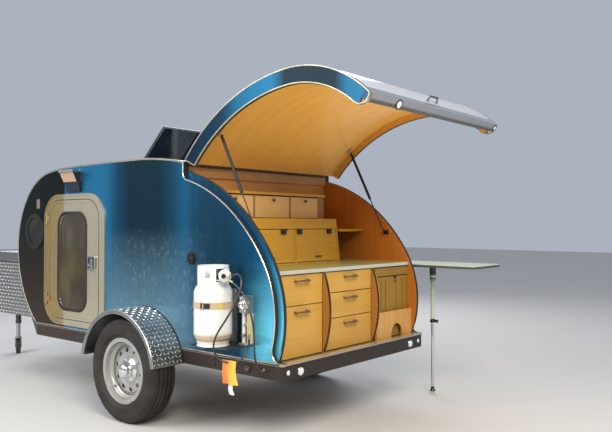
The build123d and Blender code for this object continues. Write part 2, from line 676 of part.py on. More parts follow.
def tongue_box():
    half = BOX_HALF
    box = block(BOX_X, (-half, half), BOX_Z)
    box -= block((BOX_X[0] + 4, BOX_X[1] - 4), (-half + 4, half - 4), (BOX_Z[0] + 4, BOX_Z[1] + 10))
    return box


def tongue_box_fixings():
    # Two feet on the rails and the fixed halves of the lid's hinges
    fixings = []
    for y in (-300, 300):
        fixings.append(block((BOX_X[0] + 40, BOX_X[1] - 40), (y - 20, y + 20), (RAIL_LOW + 72, BOX_Z[0])))
    x, z = BOX_X[0] - 10, BOX_Z[1] + 6
    for y in (-380, 380):
        leaf = block((BOX_X[0] - 16, BOX_X[0]), (y - 60, y - 31), (z - 40, z))
        leaf += rod((x, y - 60, z), (x, y - 31, z), 6.5)
        fixings.append(leaf + rod((x, y - 60, z), (x, y + 30, z), 3))
    return Compound(children=fixings)


def tongue_lid():
    half = BOX_HALF + 12
    lid = block((BOX_X[0] - 2, BOX_X[1] + 12), (-half, half), (BOX_Z[1] - 30, LID_TOP_Z))
    lid -= block((BOX_X[0] - 10, BOX_X[1] + 6), (-half + 6, half - 6), (BOX_Z[1] - 40, LID_TOP_Z - 4))
    x, z = BOX_X[0] - 10, BOX_Z[1] + 6
    lid += block((BOX_X[0] - 6, BOX_X[0] + 2), (-half, half), (z + 8, LID_TOP_Z))
    for y in (-380, 380):
        lid += block((x, BOX_X[0] - 2), (y - 30, y + 30), (z + 1, z + 14))
        lid += rod((x, y - 30, z), (x, y + 30, z), 6.5)
        lid -= rod((x, y - 30, z), (x, y + 30, z), 3.05)
    return lid


# The jack stands beside the left tongue rail and is drawn round its own upright axis,
# +X along the rail and +Y away from it
TONGUE_WAY = TONGUE_RUN.normalized()
JACK_CENTRE = TONGUE_FRONT - TONGUE_WAY * JACK_ALONG + TONGUE_WAY.rotate(Axis.Z, 90) * JACK_OUT


def on_jack(shape):
    return Pos(JACK_CENTRE.X, JACK_CENTRE.Y, 0) * Rot(0, 0, -TONGUE_SLOPE) * shape


def jack_bracket():
    face = RAIL_THICK / 2 - JACK_OUT
    mount = block((-60, 60), (face, face + 8), (JACK_PIVOT_Z - 36, JACK_PIVOT_Z + 32))
    mount += rod((0, face, JACK_PIVOT_Z), (0, -26.3, JACK_PIVOT_Z), 22)
    return on_jack(mount + rod((0, face, JACK_PIVOT_Z), (0, face + 30, JACK_PIVOT_Z), 34))


def jack_tube():
    low, top = JACK_TUBE_Z
    tube = rod((0, 0, low), (0, 0, top - 28), 26) - rod((0, 0, low - 5), (0, 0, top - 28), 20.05)
    tube += rod((0, 0, top - 28), (0, 0, top), 30)
    grip_z = top - 16
    tube += rod((0, 20, grip_z), (0, 92, grip_z), 8) + rod((0, 88, grip_z), (0, 88, grip_z - 120), 7)
    return on_jack(tube + rod((0, 80, grip_z - 120), (0, 128, grip_z - 120), 9))


def jack_ram():
    return on_jack(rod((0, 0, 168), (0, 0, 445), 20) + rod((0, 0, 160), (0, 0, 168), 30))


def jack_caster():
    x = CASTER_TRAIL
    fork = rod((0, 0, 150), (0, 0, 159.5), 30)
    for side in (-1, 1):
        low = CASTER_R - 12
        leg = make_face(Polyline((-26, 152), (28, 152), (x + 14, low), (x - 12, low), close=True))
        fork += across(leg, side * 28 - 2, side * 28 + 2)
    return on_jack(fork + rod((x, -30, CASTER_R), (x, 30, CASTER_R), 6))


def jack_wheel():
    x = CASTER_TRAIL
    wheel = rod((x, -22, CASTER_R), (x, 22, CASTER_R), CASTER_R)
    wheel = chamfer(wheel.edges().filter_by(GeomType.CIRCLE), 6)
    return on_jack(wheel - rod((x, -30, CASTER_R), (x, 30, CASTER_R), 6.05))


def strut_tube():
    top = Vector(STRUT_TOP[0], STRUT_Y, STRUT_TOP[1])
    foot = Vector(STRUT_FOOT[0], STRUT_Y, STRUT_FOOT[1])
    way = (foot - top).normalized()
    tube = rod(top + way * 14, top + way * TUBE_LENGTH, 10)
    tube -= rod(top + way * 30, top + way * (TUBE_LENGTH + 5), 4.05)
    eye = rod(top - Vector(0, 6, 0), top + Vector(0, 6, 0), 9)
    return tube + eye + rod(top, top + way * 18, 5) - rod(top - Vector(0, 7, 0), top + Vector(0, 7, 0), 4.05)


def strut_rod():
    top = Vector(STRUT_TOP[0], STRUT_Y, STRUT_TOP[1])
    foot = Vector(STRUT_FOOT[0], STRUT_Y, STRUT_FOOT[1])
    way = (foot - top).normalized()
    eye = rod(foot - Vector(0, 5, 0), foot + Vector(0, 5, 0), 8)
    return rod(top + way * ROD_START, foot - way * 6, 4) + eye


def strut_hatch_bracket():
    x, z = STRUT_TOP
    return rod((x, STRUT_Y - 8, z), (x, STRUT_Y + 20, z), 4)


def strut_wall_bracket():
    x, z = STRUT_FOOT
    pad = block((x - 22, x + 22), (INNER_HALF - 4, INNER_HALF), (z - 16, z + 16))
    return pad + rod((x, STRUT_Y + 7, z), (x, INNER_HALF, z), 8)


def ring_sector(middle, width, z_low, z_high):
    # A wedge out of the bottle's collar, by its middle angle and its width in degrees
    x, y = TANK
    reach = 130
    turns = [radians(middle + turn) for turn in (-width / 2, 0, width / 2)]
    points = [(0, 0)] + [(reach * cos(turn), reach * sin(turn)) for turn in turns]
    return Pos(x, y, z_low) * extrude(make_face(Polyline(*points, close=True)), amount=z_high - z_low)


def tank():
    x, y = TANK
    low, top = TANK_Z
    profile = Polyline((0, low + 22), (78, low + 22), (78, low), (92, low), (92, low + 30), (TANK_R - 8, low + 44), (TANK_R, low + 66),
        (TANK_R, 890), (TANK_R - 10, 918), (TANK_R - 34, 938), (50, 948), (0, 950), close=True)
    plane = Plane(origin=(x, y, 0), x_dir=(1, 0, 0), z_dir=(0, -1, 0))
    body = revolve(plane * make_face(profile), axis=Axis((x, y, 0), (0, 0, 1)), revolution_arc=360)
    collar = rod((x, y, 900), (x, y, top), 92) - rod((x, y, 890), (x, y, top + 5), 88)
    for middle, width, z_low, z_high in COLLAR_WINDOWS:
        collar -= ring_sector(middle, width, z_low, z_high)
    valve = rod((x, y, 925), (x, y, 1012), 15) + rod((x, y, 1010), (x, y, 1026), 24)
    centre = Vector(x, y, VALVE_Z)
    outlet = rod(centre, centre + Vector(*VALVE_WAY) * OUTLET_LENGTH, 11)
    return body + (collar - body) + valve + outlet


def tank_bracket():
    x, y = TANK
    shelf = block((x - 186, x + 120), (BODY_HALF, y + 70), (574, 580))
    back = block((x - 60, x + 60), (BODY_HALF, BODY_HALF + 6), (574, 900))
    z_low, z_high = STRAP_Z
    strap = Pos(x, y, z_low) * extrude(Circle(TANK_R + 3) - Circle(TANK_R + 0.3), amount=z_high - z_low)
    bridge = block((x - 40, x + 40), (BODY_HALF, y - TANK_R + 2), STRAP_Z)
    bridge -= Pos(x, y, 790) * Cylinder(TANK_R + 0.3, 200)
    return shelf + back + strap + bridge


def hose_end(route, first, length):
    # A ferrule in line with the hose, from its end face away from it
    ends = (route[0], route[1]) if first else (route[-1], route[-2])
    end, inside = [Vector(*point) for point in ends]
    return rod(end, end + (end - inside).normalized() * length, HOSE_R + 3)


def regulator():
    # A round regulator on the valve's outlet, its face turned back and outwards
    start = Vector(*TANK, VALVE_Z)
    way, face = Vector(*VALVE_WAY), Vector(-0.5, 0.866, 0)
    centre = start + way * REGULATOR_AWAY
    drum = rod(centre - face * 16, centre + face * 16, 33)
    cap = rod(centre + face * 15, centre + face * 24, 20)
    inlet = rod(start + way * OUTLET_LENGTH, centre, 10)
    return drum + cap + inlet + hose_end(HOSE_LONG, True, 30) + hose_end(HOSE_SHORT, True, 30)


def gas_outlet():
    # The wall outlet behind the bottle: a housing over an upright pipe and a foot tray
    wall = BODY_HALF
    plate_back = block((-962, -900), (wall, wall + 8), (580, 868))
    housing = block((-958, -902), (wall + 7, wall + 58), (770, 866))
    pipe = rod((-916, wall + 34, 590), (-916, wall + 34, 775), 11)
    strip = block((-960, -946), (wall + 7, wall + 40), (592, 766))
    foot = block((-958, -902), (wall + 7, wall + 60), (579, 596))
    cross = rod((-930, wall + 30, 640), (-930, wall + 62, 640), 8)
    cross += rod((-946, wall + 36, 700), (-905, wall + 36, 700), 8)
    return plate_back + housing + pipe + strip + foot + cross + hose_end(HOSE_LONG, False, 24)


def hose_gland():
    # Where the short hose goes through the side rail
    return hose_end(HOSE_SHORT, False, 14) & block((-1200, -900), (BODY_HALF, BODY_HALF + 60), (400, 500))


def hose(route):
    # Straight runs joined by arcs, each as wide as its corner lets it be
    points = [Vector(*point) for point in route]
    runs = [after - before for before, after in zip(points, points[1:])]
    radii = []
    for before, after in zip(runs, runs[1:]):
        half_turn = radians(before.get_angle(after)) / 2
        radii.append(0.45 * min(before.length, after.length) / tan(half_turn))
    path = FilletPolyline(*points, radius=radii)
    print("hose arcs", [round(radius) for radius in radii], "length", round(path.length))
    section = Plane(origin=path @ 0, z_dir=path % 0) * Circle(HOSE_R)
    return sweep(section, path=path)


def table_top():
    top = block(TABLE_X, TABLE_Y, TABLE_Z)
    top = fillet(top.edges().filter_by(Axis.Z), 40)
    x, y = LEG
    socket = rod((x, y, 860), (x, y, 971), 24) + rod((x, y, 540), (x, y, 870), 16)
    socket -= rod((x, y, 500), (x, y, 935), 12.05)
    bracket = block((-1040, -760), (-780, -BODY_HALF), (930, 970))
    bracket += block((-1040, -760), (-800, -780), (950, 971))
    return top + socket + bracket


def leg_foot():
    x, y = LEG
    return rod((x, y, 22), (x, y, 700), 12) + rod((x, y, 1), (x, y, 24), 20)


parts = {
    "side_rails": side_rails(),
    "cross_members": cross_members(),
    "tongue_rails": tongue_rails(),
    "coupler": Compound(children=[coupler(), jack_bracket()]),
    "axle": axle(),
    "fenders": fenders(),
    "floor": floor(),
    "wall_left": wall(),
    "wall_right": mirrored(wall()),
    "roof": roof(),
    "hatch_fixings": Compound(children=[hinge_knuckles(False), *both_sides(strut_wall_bracket()).solids()]),
    "bulkhead": bulkhead(),
    "counter": counter(),
    "lower_cabinet": lower_cabinet(),
    "upper_cabinet": upper_cabinet(),
    "icebox": icebox(),
    "door_frames": door_frames(),
    "porthole_rings": porthole_rings(),
    "porthole_glass": porthole_glass(),
    "rear_bumper": rear_bumper(),
    "lamps": Compound(children=[*lamps().solids(), *porch_lights().solids()]),
    "vent_base": vent_base(),
    "vent_lid": vent_lid(),
    "tongue_box": tongue_box(),
    "tongue_box_fixings": tongue_box_fixings(),
    "tongue_box_lid": tongue_lid(),
    "tank": tank(),
    "gas_bracket": Compound(children=[tank_bracket() + gas_outlet(), regulator(), hose_gland()]),
    "hose_long": hose(HOSE_LONG),
    "hose_short": hose(HOSE_SHORT),
    "table": table_top(),
    "table_leg": leg_foot(),
    "hatch_shell": hatch_shell(),
    "hatch_metalwork": Compound(children=[
        hatch_lip(), hatch_handle(), *hatch_hinge().solids(), *both_sides(strut_hatch_bracket()).solids(),
    ]),
    "jack_tube": jack_tube(),
    "jack_ram": jack_ram(),
    "jack_caster": jack_caster(),
    "jack_wheel": jack_wheel(),
}
for side, turn in (("left", lambda shape: shape), ("right", mirrored)):
    parts["tyre_" + side] = turn(wheel_turn(tyre()))
    parts["rim_" + side] = turn(wheel_disc() + hub_cap())
    parts["door_" + side] = turn(door_leaf())
    parts["door_window_" + side] = turn(door_window())
    parts["strut_tube_" + side] = turn(strut_tube())
    parts["strut_rod_" + side] = turn(strut_rod())
DRAWERS = [
    (0, 0, "drawer_left_low"),
    (0, 1, "drawer_left_high"),
    (1, 0, "drawer_middle_low"),
    (1, 1, "drawer_middle"),
    (1, 2, "drawer_middle_high"),
]
for bay, row, name in DRAWERS:
    parts[name] = drawer(bay, row)
for index, name in enumerate(("cabinet_door_left", "cabinet_door_right")):
    parts[name] = flap(index)
for index, name in enumerate(("shelf_drawer_left", "shelf_drawer_middle", "shelf_drawer_right")):
    parts[name] = tray(index)

os.makedirs("parts", exist_ok=True)
for name, shape in parts.items():
    shape.label = name
    export_step(Pos(-BALL_X, 0, -BALL_Z) * shape, f"parts/{name}.step")
    print(name, len(shape.solids()))
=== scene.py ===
import math

import bmesh
import bpy
from mathutils import Matrix, Vector


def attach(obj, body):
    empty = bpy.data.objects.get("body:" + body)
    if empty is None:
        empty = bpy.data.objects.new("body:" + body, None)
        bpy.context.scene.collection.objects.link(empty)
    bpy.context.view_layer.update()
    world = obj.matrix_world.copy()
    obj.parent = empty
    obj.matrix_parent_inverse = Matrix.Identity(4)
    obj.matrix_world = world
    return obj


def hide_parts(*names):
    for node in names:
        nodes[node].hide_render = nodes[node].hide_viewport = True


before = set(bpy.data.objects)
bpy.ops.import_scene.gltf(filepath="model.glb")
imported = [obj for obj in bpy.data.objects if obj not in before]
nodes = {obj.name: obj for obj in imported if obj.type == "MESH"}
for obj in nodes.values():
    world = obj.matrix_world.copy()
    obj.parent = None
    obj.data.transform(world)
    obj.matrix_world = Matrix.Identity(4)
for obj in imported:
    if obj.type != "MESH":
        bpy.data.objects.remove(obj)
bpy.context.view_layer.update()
print("frame loaded:", len(nodes), "nodes")

# Places are given in millimetres from the axle's centre line on the ground
ball = (3060, 0, 440)


def at(x, y, z):
    return Vector(((x - ball[0]) / 1000, (y - ball[1]) / 1000, (z - ball[2]) / 1000))


# Camera
camera = {
    "place": (-3763.9, 3688.8, 1283.2),
    "yaw": -50.528,
    "pitch": 0.672,
    "roll": 0.138,
    "lens": 40.85,
}


def makeCamera(values):
    yaw, pitch, roll = [math.radians(values[key]) for key in ("yaw", "pitch", "roll")]
    ahead = Vector((math.cos(pitch) * math.cos(yaw), math.cos(pitch) * math.sin(yaw), math.sin(pitch)))
    right = ahead.cross(Vector((0, 0, 1))).normalized()
    up = right.cross(ahead)
    turned = math.cos(roll) * right + math.sin(roll) * up
    upTurned = math.cos(roll) * up - math.sin(roll) * right
    data = bpy.data.cameras.new("camera")
    data.lens = values["lens"]
    data.sensor_width = 36
    data.clip_end = 200
    seen = bpy.data.objects.new("camera", data)
    bpy.context.scene.collection.objects.link(seen)
    turn = Matrix((turned, upTurned, -ahead)).transposed()
    seen.matrix_world = Matrix.Translation(at(*values["place"])) @ turn.to_4x4()
    bpy.context.scene.camera = seen


makeCamera(camera)


# Shader helpers
class Flow:
    # A node's output, so that sums on it add Math nodes
    def __init__(self, graph, socket):
        self.graph, self.socket = graph, socket

    def calc(self, operation, *others):
        return self.graph.calc(operation, self, *others)

    def __add__(self, other):
        return self.calc("ADD", other)

    def __sub__(self, other):
        return self.calc("SUBTRACT", other)

    def __mul__(self, other):
        return self.calc("MULTIPLY", other)

    def __truediv__(self, other):
        return self.calc("DIVIDE", other)

    def __gt__(self, other):
        return self.calc("GREATER_THAN", other)

    def __lt__(self, other):
        return self.calc("LESS_THAN", other)

    def __rsub__(self, other):
        return self.graph.calc("SUBTRACT", other, self)

    __radd__ = __add__
    __rmul__ = __mul__


class Graph:
    # What shader and geometry trees share; both keep theirs in self.tree
    def node(self, kind, settings=None, inputs=None, output=0):
        made = self.tree.nodes.new(kind)
        for key, value in (settings or {}).items():
            if key == "stops":
                self.setStops(made.color_ramp, value)
            else:
                setattr(made, key, value)
        for key, value in (inputs or {}).items():
            socket = made.inputs[key]
            if isinstance(value, Flow):
                self.tree.links.new(value.socket, socket)
            elif socket.type == "RGBA":
                socket.default_value = (*value[:3], 1)
            else:
                socket.default_value = value
        return Flow(self, made.outputs[output])

    def setStops(self, ramp, stops):
        while len(ramp.elements) < len(stops):
            ramp.elements.new(0.5)
        for element, (place, value) in zip(ramp.elements, stops):
            element.position = place
            element.color = (*value, 1)

    def calc(self, operation, *values):
        return self.node("ShaderNodeMath", {"operation": operation}, dict(enumerate(values)))

    def split(self, vector, axis):
        return self.node("ShaderNodeSeparateXYZ", None, {0: vector}, axis)


class Finish(Graph):
    # One material, built from nodes on the object's own coordinates
    def __init__(self, name):
        self.material = bpy.data.materials.new(name)
        self.material.use_nodes = True
        self.tree = self.material.node_tree
        self.tree.nodes.clear()
        coordinates = self.tree.nodes.new("ShaderNodeTexCoord")
        self.place = Flow(self, coordinates.outputs["Object"])
        self.facing = Flow(self, coordinates.outputs["Normal"])
        self.uv = Flow(self, coordinates.outputs["UV"])

    def axis(self, index):
        return self.split(self.place, index)

    def ramp(self, value, stops):
        return self.node("ShaderNodeValToRGB", {"stops": stops}, {0: value})

    def band(self, value, low, high, soft=0.001):
        # 1 between low and high, with soft edges
        rise = self.node("ShaderNodeMapRange", None, {0: value, 1: low - soft, 2: low + soft, 3: 0.0, 4: 1.0})
        fall = self.node("ShaderNodeMapRange", None,
                         {0: value, 1: high - soft, 2: high + soft, 3: 1.0, 4: 0.0})
        return rise * fall

    def step(self, value, low, high, start=0.0, end=1.0):
        return self.node("ShaderNodeMapRange", None, {0: value, 1: low, 2: high, 3: start, 4: end})

    def mix(self, factor, first, second, way="MIX"):
        return self.node("ShaderNodeMix", {"data_type": "RGBA", "blend_type": way},
                         {0: factor, 6: first, 7: second}, 2)

    def stretched(self, scale, move=(0, 0, 0)):
        return self.node("ShaderNodeMapping", None, {0: self.place, 1: move, 3: scale})

    def noise(self, scale, detail=3.0, stretch=(1, 1, 1), rough=0.5, move=(0, 0, 0)):
        inputs = {"Vector": self.stretched(stretch, move), "Scale": scale, "Detail": detail,
                  "Roughness": rough}
        return self.node("ShaderNodeTexNoise", None, inputs)

    def bump(self, height, strength, distance):
        return self.node("ShaderNodeBump", None,
                         {"Height": height, "Strength": strength, "Distance": distance})

    def vector(self, operation, first, second=(0, 0, 0), output=0):
        return self.node("ShaderNodeVectorMath", {"operation": operation}, {0: first, 1: second}, output)

    def mm(self, index):
        # The place in the layout's millimetres
        return self.axis(index) * 1000 + ball[index]

    def zone(self, x=None, y=None, z=None, soft=0.6, near=None, radius=0, along=None, facing=None,
             beyond=None):
        # 1 inside ranges of the layout, near a place, on faces along one axis and far out to the sides
        parts = [self.band(self.mm(index), *span, soft) for index, span in enumerate((x, y, z)) if span]
        if near:
            parts.append(self.near(near, radius, soft, along))
        if facing:
            parts.append(self.calc("ABSOLUTE", self.split(self.facing, facing[0])) > facing[1])
        if beyond:
            parts.append(self.calc("ABSOLUTE", self.mm(1)) > beyond)
        share = parts[0]
        for part in parts[1:]:
            share = share * part
        return share

    def near(self, centre, radius, soft=0.6, along=None):
        # 1 within a radius of a place, or of a line through it along one axis
        away = self.vector("SUBTRACT", self.place, at(*centre))
        if along is not None:
            away = self.vector("MULTIPLY", away, [0.0 if index == along else 1.0 for index in range(3)])
        return self.step(self.vector("LENGTH", away, output=1) * 1000, radius - soft, radius + soft, 1.0, 0.0)

    def outward(self, x, y, z):
        # 1 where the surface faces away from a place, 0 where it faces the place
        away = self.vector("NORMALIZE", self.vector("SUBTRACT", self.place, at(x, y, z)))
        return self.step(self.vector("DOT_PRODUCT", self.facing, away, 1), 0.15, 0.3)

    def lay(self, base, rough, shine, layers):
        # Other finishes over the first; each layer is (where, colour, roughness, metallic)
        for where, colour, gloss, plate in layers:
            part = where(self) if callable(where) else self.zone(**where)
            base = self.mix(part, base, colour)
            rough = part * (gloss - rough) + rough
            shine = part * (plate - shine) + shine
        return base, rough, shine

    def shade(self, base, factor, tone=(0.4, 0.4, 0.4)):
        return self.mix(factor, base, tone, "MULTIPLY")

    def close(self, **inputs):
        # Names of the shader's sockets come as camelCase words
        names = {
            "base": "Base Color", "roughness": "Roughness", "metallic": "Metallic", "normal": "Normal",
            "coat": "Coat Weight", "coatRoughness": "Coat Roughness", "alpha": "Alpha",
            "sheen": "Sheen Weight", "specular": "Specular IOR Level",
        }
        shader = self.node("ShaderNodeBsdfPrincipled", None,
                           {names[key]: value for key, value in inputs.items()})
        out = self.tree.nodes.new("ShaderNodeOutputMaterial")
        self.tree.links.new(shader.socket, out.inputs[0])
        return self.material


# Finishes
def metal(name, colour, roughness=0.3, grain=(1, 1, 1), grime=0.15, depth=0.15, metallic=1.0, layers=()):
    # Bare or plated metal with brush lines along one axis and a little dulling
    finish = Finish(name)
    lines = finish.noise(60, 4.0, grain, rough=0.6)
    cloud = finish.noise(7.0, 4.0)
    spots = finish.noise(45.0, 3.0, move=(3, 1, 2))
    dull = finish.step(cloud + 0.35 * spots, 0.55, 0.95)
    base, rough, shine = finish.lay(colour, roughness, metallic, layers)
    base = finish.shade(base, dull * grime + finish.step(lines, 0.3, 0.8) * 0.14)
    rough = rough + 0.25 * (lines - 0.5) + 0.6 * dull * grime
    return finish.close(base=base, roughness=rough, metallic=shine,
                        normal=finish.bump(lines + 0.4 * spots, depth, 0.0008))


def paint(name, colour, roughness=0.35, metallic=0.0, coat=0.3, wear=0.2, dust=(0.30, 0.24, 0.17),
          dustHigh=0.35, layers=()):
    # Sprayed paint: slight orange peel, dust that thickens towards the ground, paler scuffs
    finish = Finish(name)
    peel = finish.noise(220.0, 2.0)
    cloud = finish.noise(5.0, 5.0, rough=0.6)
    scuff = finish.noise(38.0, 6.0, (1, 1, 0.4), rough=0.7, move=(2, 5, 1))
    low = finish.step(finish.axis(2), -0.44, -0.44 + dustHigh, 1.0, 0.0)
    dusty = low * finish.step(cloud + 0.4 * scuff, 0.45, 0.95)
    base, rough, shine = finish.lay(colour, roughness, metallic, layers)
    base = finish.shade(base, finish.step(cloud, 0.3, 0.75) * 0.18)
    base = finish.mix(finish.step(scuff, 0.62, 0.75) * wear * 0.4, base, (0.6, 0.58, 0.54))
    base = finish.mix(dusty * 0.55, base, dust)
    rough = rough + 0.3 * dusty + 0.12 * (cloud - 0.5) + 0.15 * finish.step(scuff, 0.55, 0.75) * wear
    return finish.close(base=base, roughness=rough, metallic=shine, coat=coat, coatRoughness=0.12,
                        normal=finish.bump(peel + 0.6 * scuff, 0.08, 0.0006))


def woodFinish(name, pale, dark, along=1, knots=0.0, layers=()):
    # Varnished ply: long grain along one axis, broad figure and fine pores
    finish = Finish(name)
    stretch = [9.0, 9.0, 9.0]
    stretch[along] = 0.6
    figure = finish.noise(0.9, 4.0, tuple(stretch), rough=0.55)
    fine = [140.0, 140.0, 140.0]
    fine[along] = 3.0
    pores = finish.noise(1.4, 3.0, tuple(fine), rough=0.7)
    wave = finish.calc("SINE", figure * 26.0) * 0.5 + 0.5
    cloud = finish.noise(2.2, 3.0, move=(1, 2, 3))
    mark = 0.35 * wave + 0.45 * (pores - 0.4)
    base = finish.mix(finish.step(mark, 0.0, 0.75) * 0.75, pale, dark)
    base = finish.mix(finish.step(cloud, 0.35, 0.75) * 0.28, base, dark)
    if knots:
        spot = finish.node("ShaderNodeTexVoronoi", None,
                           {"Vector": finish.stretched((1, 1, 1)), "Scale": 3.1})
        base = finish.mix(finish.step(spot, 0.02, 0.05, 1.0, 0.0) * knots, base,
                          tuple(channel * 0.45 for channel in dark))
    rough = 0.34 + 0.16 * (pores - 0.5) + 0.12 * (cloud - 0.5)
    base, rough, shine = finish.lay(base, rough, 0.0, layers)
    return finish.close(base=base, roughness=rough, metallic=shine, specular=0.25, coat=0.1,
                        coatRoughness=0.15, normal=finish.bump(pores + 0.3 * figure, 0.12, 0.0005))


def rubber(name, colour, roughness, dust=0.35):
    finish = Finish(name)
    grain = finish.noise(260.0, 3.0)
    cloud = finish.noise(9.0, 4.0)
    base = finish.mix(finish.step(cloud + 0.2 * grain, 0.5, 0.85) * dust, colour, (0.17, 0.15, 0.12))
    return finish.close(base=base, roughness=roughness + 0.2 * (cloud - 0.5), specular=0.35,
                        normal=finish.bump(grain, 0.15, 0.0005))


def plastic(name, colour, roughness=0.4, coat=0.0, layers=()):
    finish = Finish(name)
    grain = finish.noise(300.0, 2.0)
    cloud = finish.noise(11.0, 4.0)
    base, rough, shine = finish.lay(colour, roughness, 0.0, layers)
    base = finish.shade(base, finish.step(cloud, 0.4, 0.8) * 0.12)
    rough = rough + 0.12 * (cloud - 0.5)
    return finish.close(base=base, roughness=rough, metallic=shine, coat=coat,
                        normal=finish.bump(grain, 0.08, 0.0004))


def smokedGlass(name, colour, alpha, streakTone, coat):
    finish = Finish(name)
    smear = finish.noise(6.0, 4.0, (1, 1, 0.5))
    # streaks of a second tone across the glass
    base = finish.mix(finish.step(smear, 0.4, 0.65), colour, streakTone)
    rough = 0.04 + 0.08 * finish.step(smear, 0.5, 0.8)
    return finish.close(base=base, roughness=rough, alpha=alpha, coat=coat, coatRoughness=0.02)


skin = {
    # share of the way from the tail to the front, and the colour there: the blue paint with painted
    # reflection bands
    "stops": [
        (0.00, (0.030, 0.300, 0.520)), (0.045, (0.015, 0.180, 0.360)), (0.09, (0.010, 0.082, 0.170)),
        (0.16, (0.010, 0.055, 0.105)), (0.22, (0.011, 0.052, 0.092)), (0.27, (0.012, 0.065, 0.115)),
        (0.32, (0.014, 0.120, 0.230)), (0.365, (0.012, 0.064, 0.110)), (0.41, (0.009, 0.036, 0.055)),
        (0.53, (0.009, 0.034, 0.053)), (0.575, (0.011, 0.060, 0.115)), (0.62, (0.017, 0.160, 0.300)),
        (0.66, (0.022, 0.190, 0.360)), (0.82, (0.020, 0.175, 0.340))],
    "span": (-1200, 1500),
    "pale": (0.160, 0.310, 0.410),          # painted pale reflection, low on the side's middle
    "cyanReflection": (0.190, 0.760, 1.000),          # painted bright reflection, low at the tail
    "sunFleck": (0.30, 0.48, 0.55),            # painted spots of sunlight round the fender
    "front": ((0.006, 0.011, 0.009), (0.052, 0.036, 0.025)),      # painted dark reflection on the front, high and low
    "darkReflectionEdge": (1030, 1044),
    "archShadow": ((40, 0, 335), 384),
    "shadow": (0.006, 0.006, 0.006),
    # painted reflection bands on the hatch's side, as the stops above
    "bandReflectionStops": [
        (0.0, (0.008, 0.062, 0.115)), (0.09, (0.007, 0.055, 0.100)), (0.15, (0.004, 0.010, 0.015)),
        (0.42, (0.005, 0.012, 0.018)), (0.50, (0.007, 0.082, 0.150)), (0.70, (0.008, 0.082, 0.150)),
        (0.80, (0.006, 0.028, 0.055)), (1.0, (0.006, 0.026, 0.050))],
    "bandSpan": (-1760, -400),
}


def skinColours(finish):
    # Colour, roughness and relief of the blue sheet; the colour carries painted reflection bands, painted
    # spots of sunlight and a painted shadow in the wheel arch
    streak = finish.noise(1.0, 5.0, (16, 16, 0.5), rough=0.6)
    broad = finish.noise(1.0, 3.0, (2.1, 2.1, 0.22), rough=0.5, move=(0.35, 0, 0))
    sunFleck = finish.noise(1.0, 3.0, (40, 40, 26), rough=0.6)
    grain = finish.noise(1.0, 2.0, (900, 900, 30))
    along = finish.mm(0) + 120.0 * (streak - 0.5) + 80.0 * (broad - 0.5)
    # painted reflection bands, dark and bright, along the side
    reflectionTones = finish.ramp(finish.step(along, *skin["span"]), skin["stops"])
    low = finish.step(finish.mm(2), 620, 1260, 1.0, 0.0)
    middle = finish.band(finish.mm(0), -420, 560, 160)
    # painted pale reflection low on the side's middle
    base = finish.mix(low * middle, reflectionTones, skin["pale"])
    # painted bright cyan reflection low at the tail
    rear = finish.step(finish.mm(0), -1100, -840, 1.0, 0.0) * finish.step(finish.mm(2), 640, 1080, 1.0, 0.0)
    base = finish.mix(rear * 0.9, base, skin["cyanReflection"])
    # painted spots of sunlight round the fender
    patch = finish.band(finish.mm(0), -520, 460, 300) * finish.band(finish.mm(2), 560, 1150, 160)
    base = finish.mix(patch * finish.step(sunFleck, 0.53, 0.70) * 0.42, base, skin["sunFleck"])
    # painted dark reflection over the front, brownish low down
    brownReflection = finish.step(finish.mm(2) + 160.0 * (broad - 0.5), 640, 1380, 1.0, 0.0)
    front = finish.mix(brownReflection, *skin["front"])
    base = finish.mix(finish.step(finish.mm(0) + 24.0 * (streak - 0.5), *skin["darkReflectionEdge"]), base, front)
    base = finish.mix(finish.near(*skin["archShadow"], 2, along=1), base, skin["shadow"])
    rough = 0.26 + 0.14 * (streak - 0.5) + 0.05 * (grain - 0.5)
    return base, rough, grain * 0.35 + streak * 0.8 + sunFleck * 0.15


def blueSkin():
    # The side walls: blue outside, grey on the cut edges and varnished ply inside
    finish = Finish("blueSkin")
    base, rough, relief = skinColours(finish)
    sideways = finish.calc("ABSOLUTE", finish.split(finish.facing, 1)) > 0.5
    outside = finish.calc("ABSOLUTE", finish.mm(1)) > 729.5
    wood = finish.mix(finish.noise(1.0, 4.0, (22, 22, 1.2)), (0.40, 0.120, 0.015), (0.53, 0.192, 0.030))
    veins = finish.step(finish.noise(1.0, 3.0, (60, 60, 1.5)), 0.45, 0.75) * 0.4
    wood = finish.mix(veins, wood, (0.33, 0.085, 0.010))
    sheet = outside * sideways
    base = finish.mix(sideways, (0.030, 0.028, 0.026), finish.mix(outside, wood, base))
    rough = sheet * (rough - 0.4) + 0.4
    normal = finish.bump(relief, 0.10, 0.0012)
    return finish.close(base=base, roughness=rough, metallic=sheet * 0.65, specular=0.12, normal=normal)


